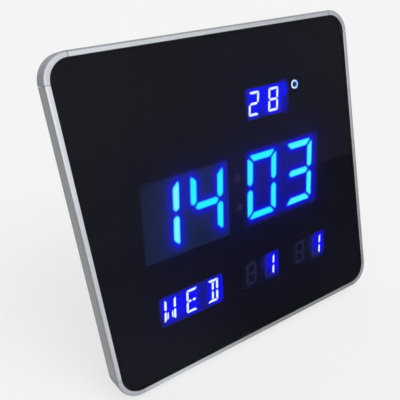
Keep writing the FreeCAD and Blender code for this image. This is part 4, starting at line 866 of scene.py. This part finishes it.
def make_degree_ring():
    """The ring as one turned light pipe in the place of its node."""
    points = upright("degree_ring")
    low, high = points.min(0), points.max(0)
    right, up = (low[0] + high[0]) / 2, (low[2] + high[2]) / 2 - LOWER_EDGE
    inner = np.linalg.norm(points[:, [0, 2]] - (right, up + LOWER_EDGE), axis=1).min()
    profile = ring_profile(inner, (high[0] - low[0]) / 2, low[1] - GLASS_FRONT)
    vertices, edges, pales = [], [], []
    for turn in range(RING_TURN_STEPS):
        angle = 2 * math.pi * turn / RING_TURN_STEPS
        for radius, depth, edge in profile:
            across, rise = radius * math.cos(angle), radius * math.sin(angle)
            vertices.append(on_desk(right + across, depth, up + rise))
            edges.append(edge)
            pales.append(0.5 - 0.5 * math.cos(angle))
    count = len(profile)
    polygons = []
    for turn in range(RING_TURN_STEPS):
        here, there = turn * count, (turn + 1) % RING_TURN_STEPS * count
        for i in range(count):
            j = (i + 1) % count
            polygons.append([here + i, here + j, there + j, there + i])
    shades = [("edge", edges), ("pale", pales)]
    ring = new_piece("degree_light", vertices, polygons, attributes=shades)
    ring.data.materials.append(glowing("lit_ring", RING_STOPS, RING_PALE_STOPS, RING_GAIN))
    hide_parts("degree_ring")


make_degree_ring()

# Studio: pale floor, soft light and the camera at the angle of the photograph

FLOOR_HALF = 4.0
PAPER_LOW = (0.862, 0.862, 0.866)
PAPER_HIGH = (0.878, 0.878, 0.882)
BACK_LEVEL = 0.913
PAPER_SHARE = 0.72
FILL_LEVEL = 0.72
FILL_COLOUR = (0.985, 0.99, 1.0, 1)
# What gloss sees: a bright side, darker towards the horizon, and a pool of light on the floor
SKY_SIDE = (-0.5, -0.866, 0.0)
SKY_LOW = 0.68
SKY_HIGH = 2.5
SKY_RISE = (0.0, 0.2)
SKY_SHARES = (0.75, 1.0)
POOL_APEX = (0.08, -0.05, 0.0)
POOL_SIDE = (0.0, -1.0, 0.0)
POOL_LOW = 0.47
POOL_RISE = 0.9
POOL_POWER = 10.0
FAR_ARC = (0.72, 0.97)
FAR_LEVELS = (0.47, 1.7)
HORIZON_RUN = (0.4, 4.0)
KEY_FROM = (0.25, -0.55, 0.85)
KEY_SPREAD = 40.0
KEY_POWER = 1.2
CAMERA_LENS = 46.48
CAMERA_PLACE = (-0.2387, -0.311183, 0.35667)
CAMERA_TILT = 59.12
CAMERA_TURN = -33.51


class Studio(Nodes):
    """Node helpers for the floor and the world, which show each kind of ray its own level."""

    def dot(self, vector, side):
        node = self.add("ShaderNodeVectorMath", operation="DOT_PRODUCT")
        self.join(vector, node.inputs[0])
        node.inputs[1].default_value = side
        return node.outputs["Value"]

    def unit(self, vector):
        node = self.add("ShaderNodeVectorMath", operation="NORMALIZE")
        self.join(vector, node.inputs[0])
        return node.outputs["Vector"]

    def moved(self, vector, by):
        node = self.add("ShaderNodeVectorMath", operation="ADD")
        self.join(vector, node.inputs[0])
        node.inputs[1].default_value = by
        return node.outputs["Vector"]

    def length(self, vector):
        node = self.add("ShaderNodeVectorMath", operation="LENGTH")
        self.join(vector, node.inputs[0])
        return node.outputs["Value"]

    def limited(self, amount, limits, levels, kind="LINEAR"):
        """An amount between two limits turned into a level between two others."""
        node = self.add("ShaderNodeMapRange", interpolation_type=kind)
        for name, number in zip(("From Min", "From Max", "To Min", "To Max"), (*limits, *levels)):
            node.inputs[name].default_value = number
        self.join(amount, node.inputs["Value"])
        return node.outputs["Result"]

    def between(self, amount, first, second):
        """A number between two others."""
        node = self.add("ShaderNodeMix", data_type="FLOAT")
        for socket, source in zip(node.inputs, (amount, None, first, second)):
            if isinstance(source, (int, float)):
                socket.default_value = source
            elif source is not None:
                self.join(source, socket)
        return node.outputs[0]

    def mirrored(self, path):
        """1 for the rays that gloss and glass send out."""
        return self.math("MAXIMUM", path.outputs["Is Glossy Ray"], path.outputs["Is Transmission Ray"])


def pool_level(studio, place):
    """A pool of light on the floor in front of the clock, dim to the right, and a far floor."""
    aim = studio.dot(studio.unit(studio.moved(place, POOL_APEX)), POOL_SIDE)
    pool = studio.math("POWER", studio.math("MAXIMUM", aim, 0.0), POOL_POWER)
    near = studio.math("ADD", studio.math("MULTIPLY", pool, POOL_RISE), POOL_LOW)
    far = studio.limited(aim, FAR_ARC, FAR_LEVELS)
    run = studio.limited(studio.length(place), HORIZON_RUN, (0.0, 1.0), "SMOOTHSTEP")
    return studio.between(run, near, far)


def make_floor():
    """Pale paper, on which gloss sees the pool of light."""
    corners = [(-1, -1), (1, -1), (1, 1), (-1, 1)]
    mesh = bpy.data.meshes.new("floor")
    mesh.from_pydata([(x * FLOOR_HALF, y * FLOOR_HALF, 0) for x, y in corners], [], [(0, 1, 2, 3)])
    floor = bpy.data.objects.new("floor", mesh)
    bpy.context.scene.collection.objects.link(floor)
    recipe = Recipe("floor_paper", Roughness=0.9, Specular_IOR_Level=0.1)
    recipe.colour(recipe.tint(recipe.noise(3.0), PAPER_LOW, PAPER_HIGH))
    studio = Studio(recipe.tree)
    path = studio.add("ShaderNodeLightPath")
    mirrored = studio.mirrored(path)
    seen = studio.math("MULTIPLY", path.outputs["Is Camera Ray"], PAPER_SHARE)
    paper = studio.add("ShaderNodeEmission")
    level_seen = studio.between(mirrored, BACK_LEVEL, pool_level(studio, recipe.place))
    studio.join(level_seen, paper.inputs["Strength"])
    mixed = studio.add("ShaderNodeMixShader")
    studio.join(studio.math("ADD", seen, mirrored), mixed.inputs[0])
    studio.join(recipe.shader.outputs[0], mixed.inputs[1])
    studio.join(paper.outputs[0], mixed.inputs[2])
    studio.join(mixed.outputs[0], recipe.tree.nodes["Material Output"].inputs["Surface"])
    mesh.materials.append(recipe.material)


def make_key_light():
    """A soft light from far away, of the same strength all over the floor."""
    lamp = bpy.data.lights.new("key_light", "SUN")
    lamp.angle = math.radians(KEY_SPREAD)
    lamp.energy = KEY_POWER
    light = bpy.data.objects.new("key_light", lamp)
    light.rotation_mode = "QUATERNION"
    light.rotation_quaternion = (-Vector(KEY_FROM)).to_track_quat("-Z", "Y")
    light.visible_glossy = False
    bpy.context.scene.collection.objects.link(light)


def make_world():
    """Even fill for the surfaces, a white backdrop, and a soft bright side for gloss and glass."""
    world = bpy.data.worlds.new("studio")
    bpy.context.scene.world = world
    world.use_nodes = True
    world.node_tree.nodes.clear()
    studio = Studio(world.node_tree)
    way = studio.add("ShaderNodeTexCoord").outputs["Generated"]
    side = studio.limited(studio.dot(way, SKY_SIDE), (0.0, 1.0), (SKY_LOW, SKY_HIGH))
    rise = studio.limited(studio.dot(way, (0.0, 0.0, 1.0)), SKY_RISE, SKY_SHARES, "SMOOTHSTEP")
    path = studio.add("ShaderNodeLightPath")
    strength = studio.between(studio.mirrored(path), FILL_LEVEL, studio.math("MULTIPLY", side, rise))
    light = studio.add("ShaderNodeBackground")
    light.inputs["Color"].default_value = FILL_COLOUR
    shown = studio.between(path.outputs["Is Camera Ray"], strength, BACK_LEVEL)
    studio.join(shown, light.inputs["Strength"])
    studio.join(light.outputs[0], studio.add("ShaderNodeOutputWorld").inputs["Surface"])


make_floor()
make_key_light()
make_world()

camera_data = bpy.data.cameras.new("camera")
camera_data.lens = CAMERA_LENS
camera = bpy.data.objects.new("camera", camera_data)
camera.location = CAMERA_PLACE
camera.rotation_euler = (math.radians(CAMERA_TILT), 0, math.radians(CAMERA_TURN))
bpy.context.scene.collection.objects.link(camera)
bpy.context.scene.camera = camera
bpy.context.scene.view_settings.view_transform = "Standard"
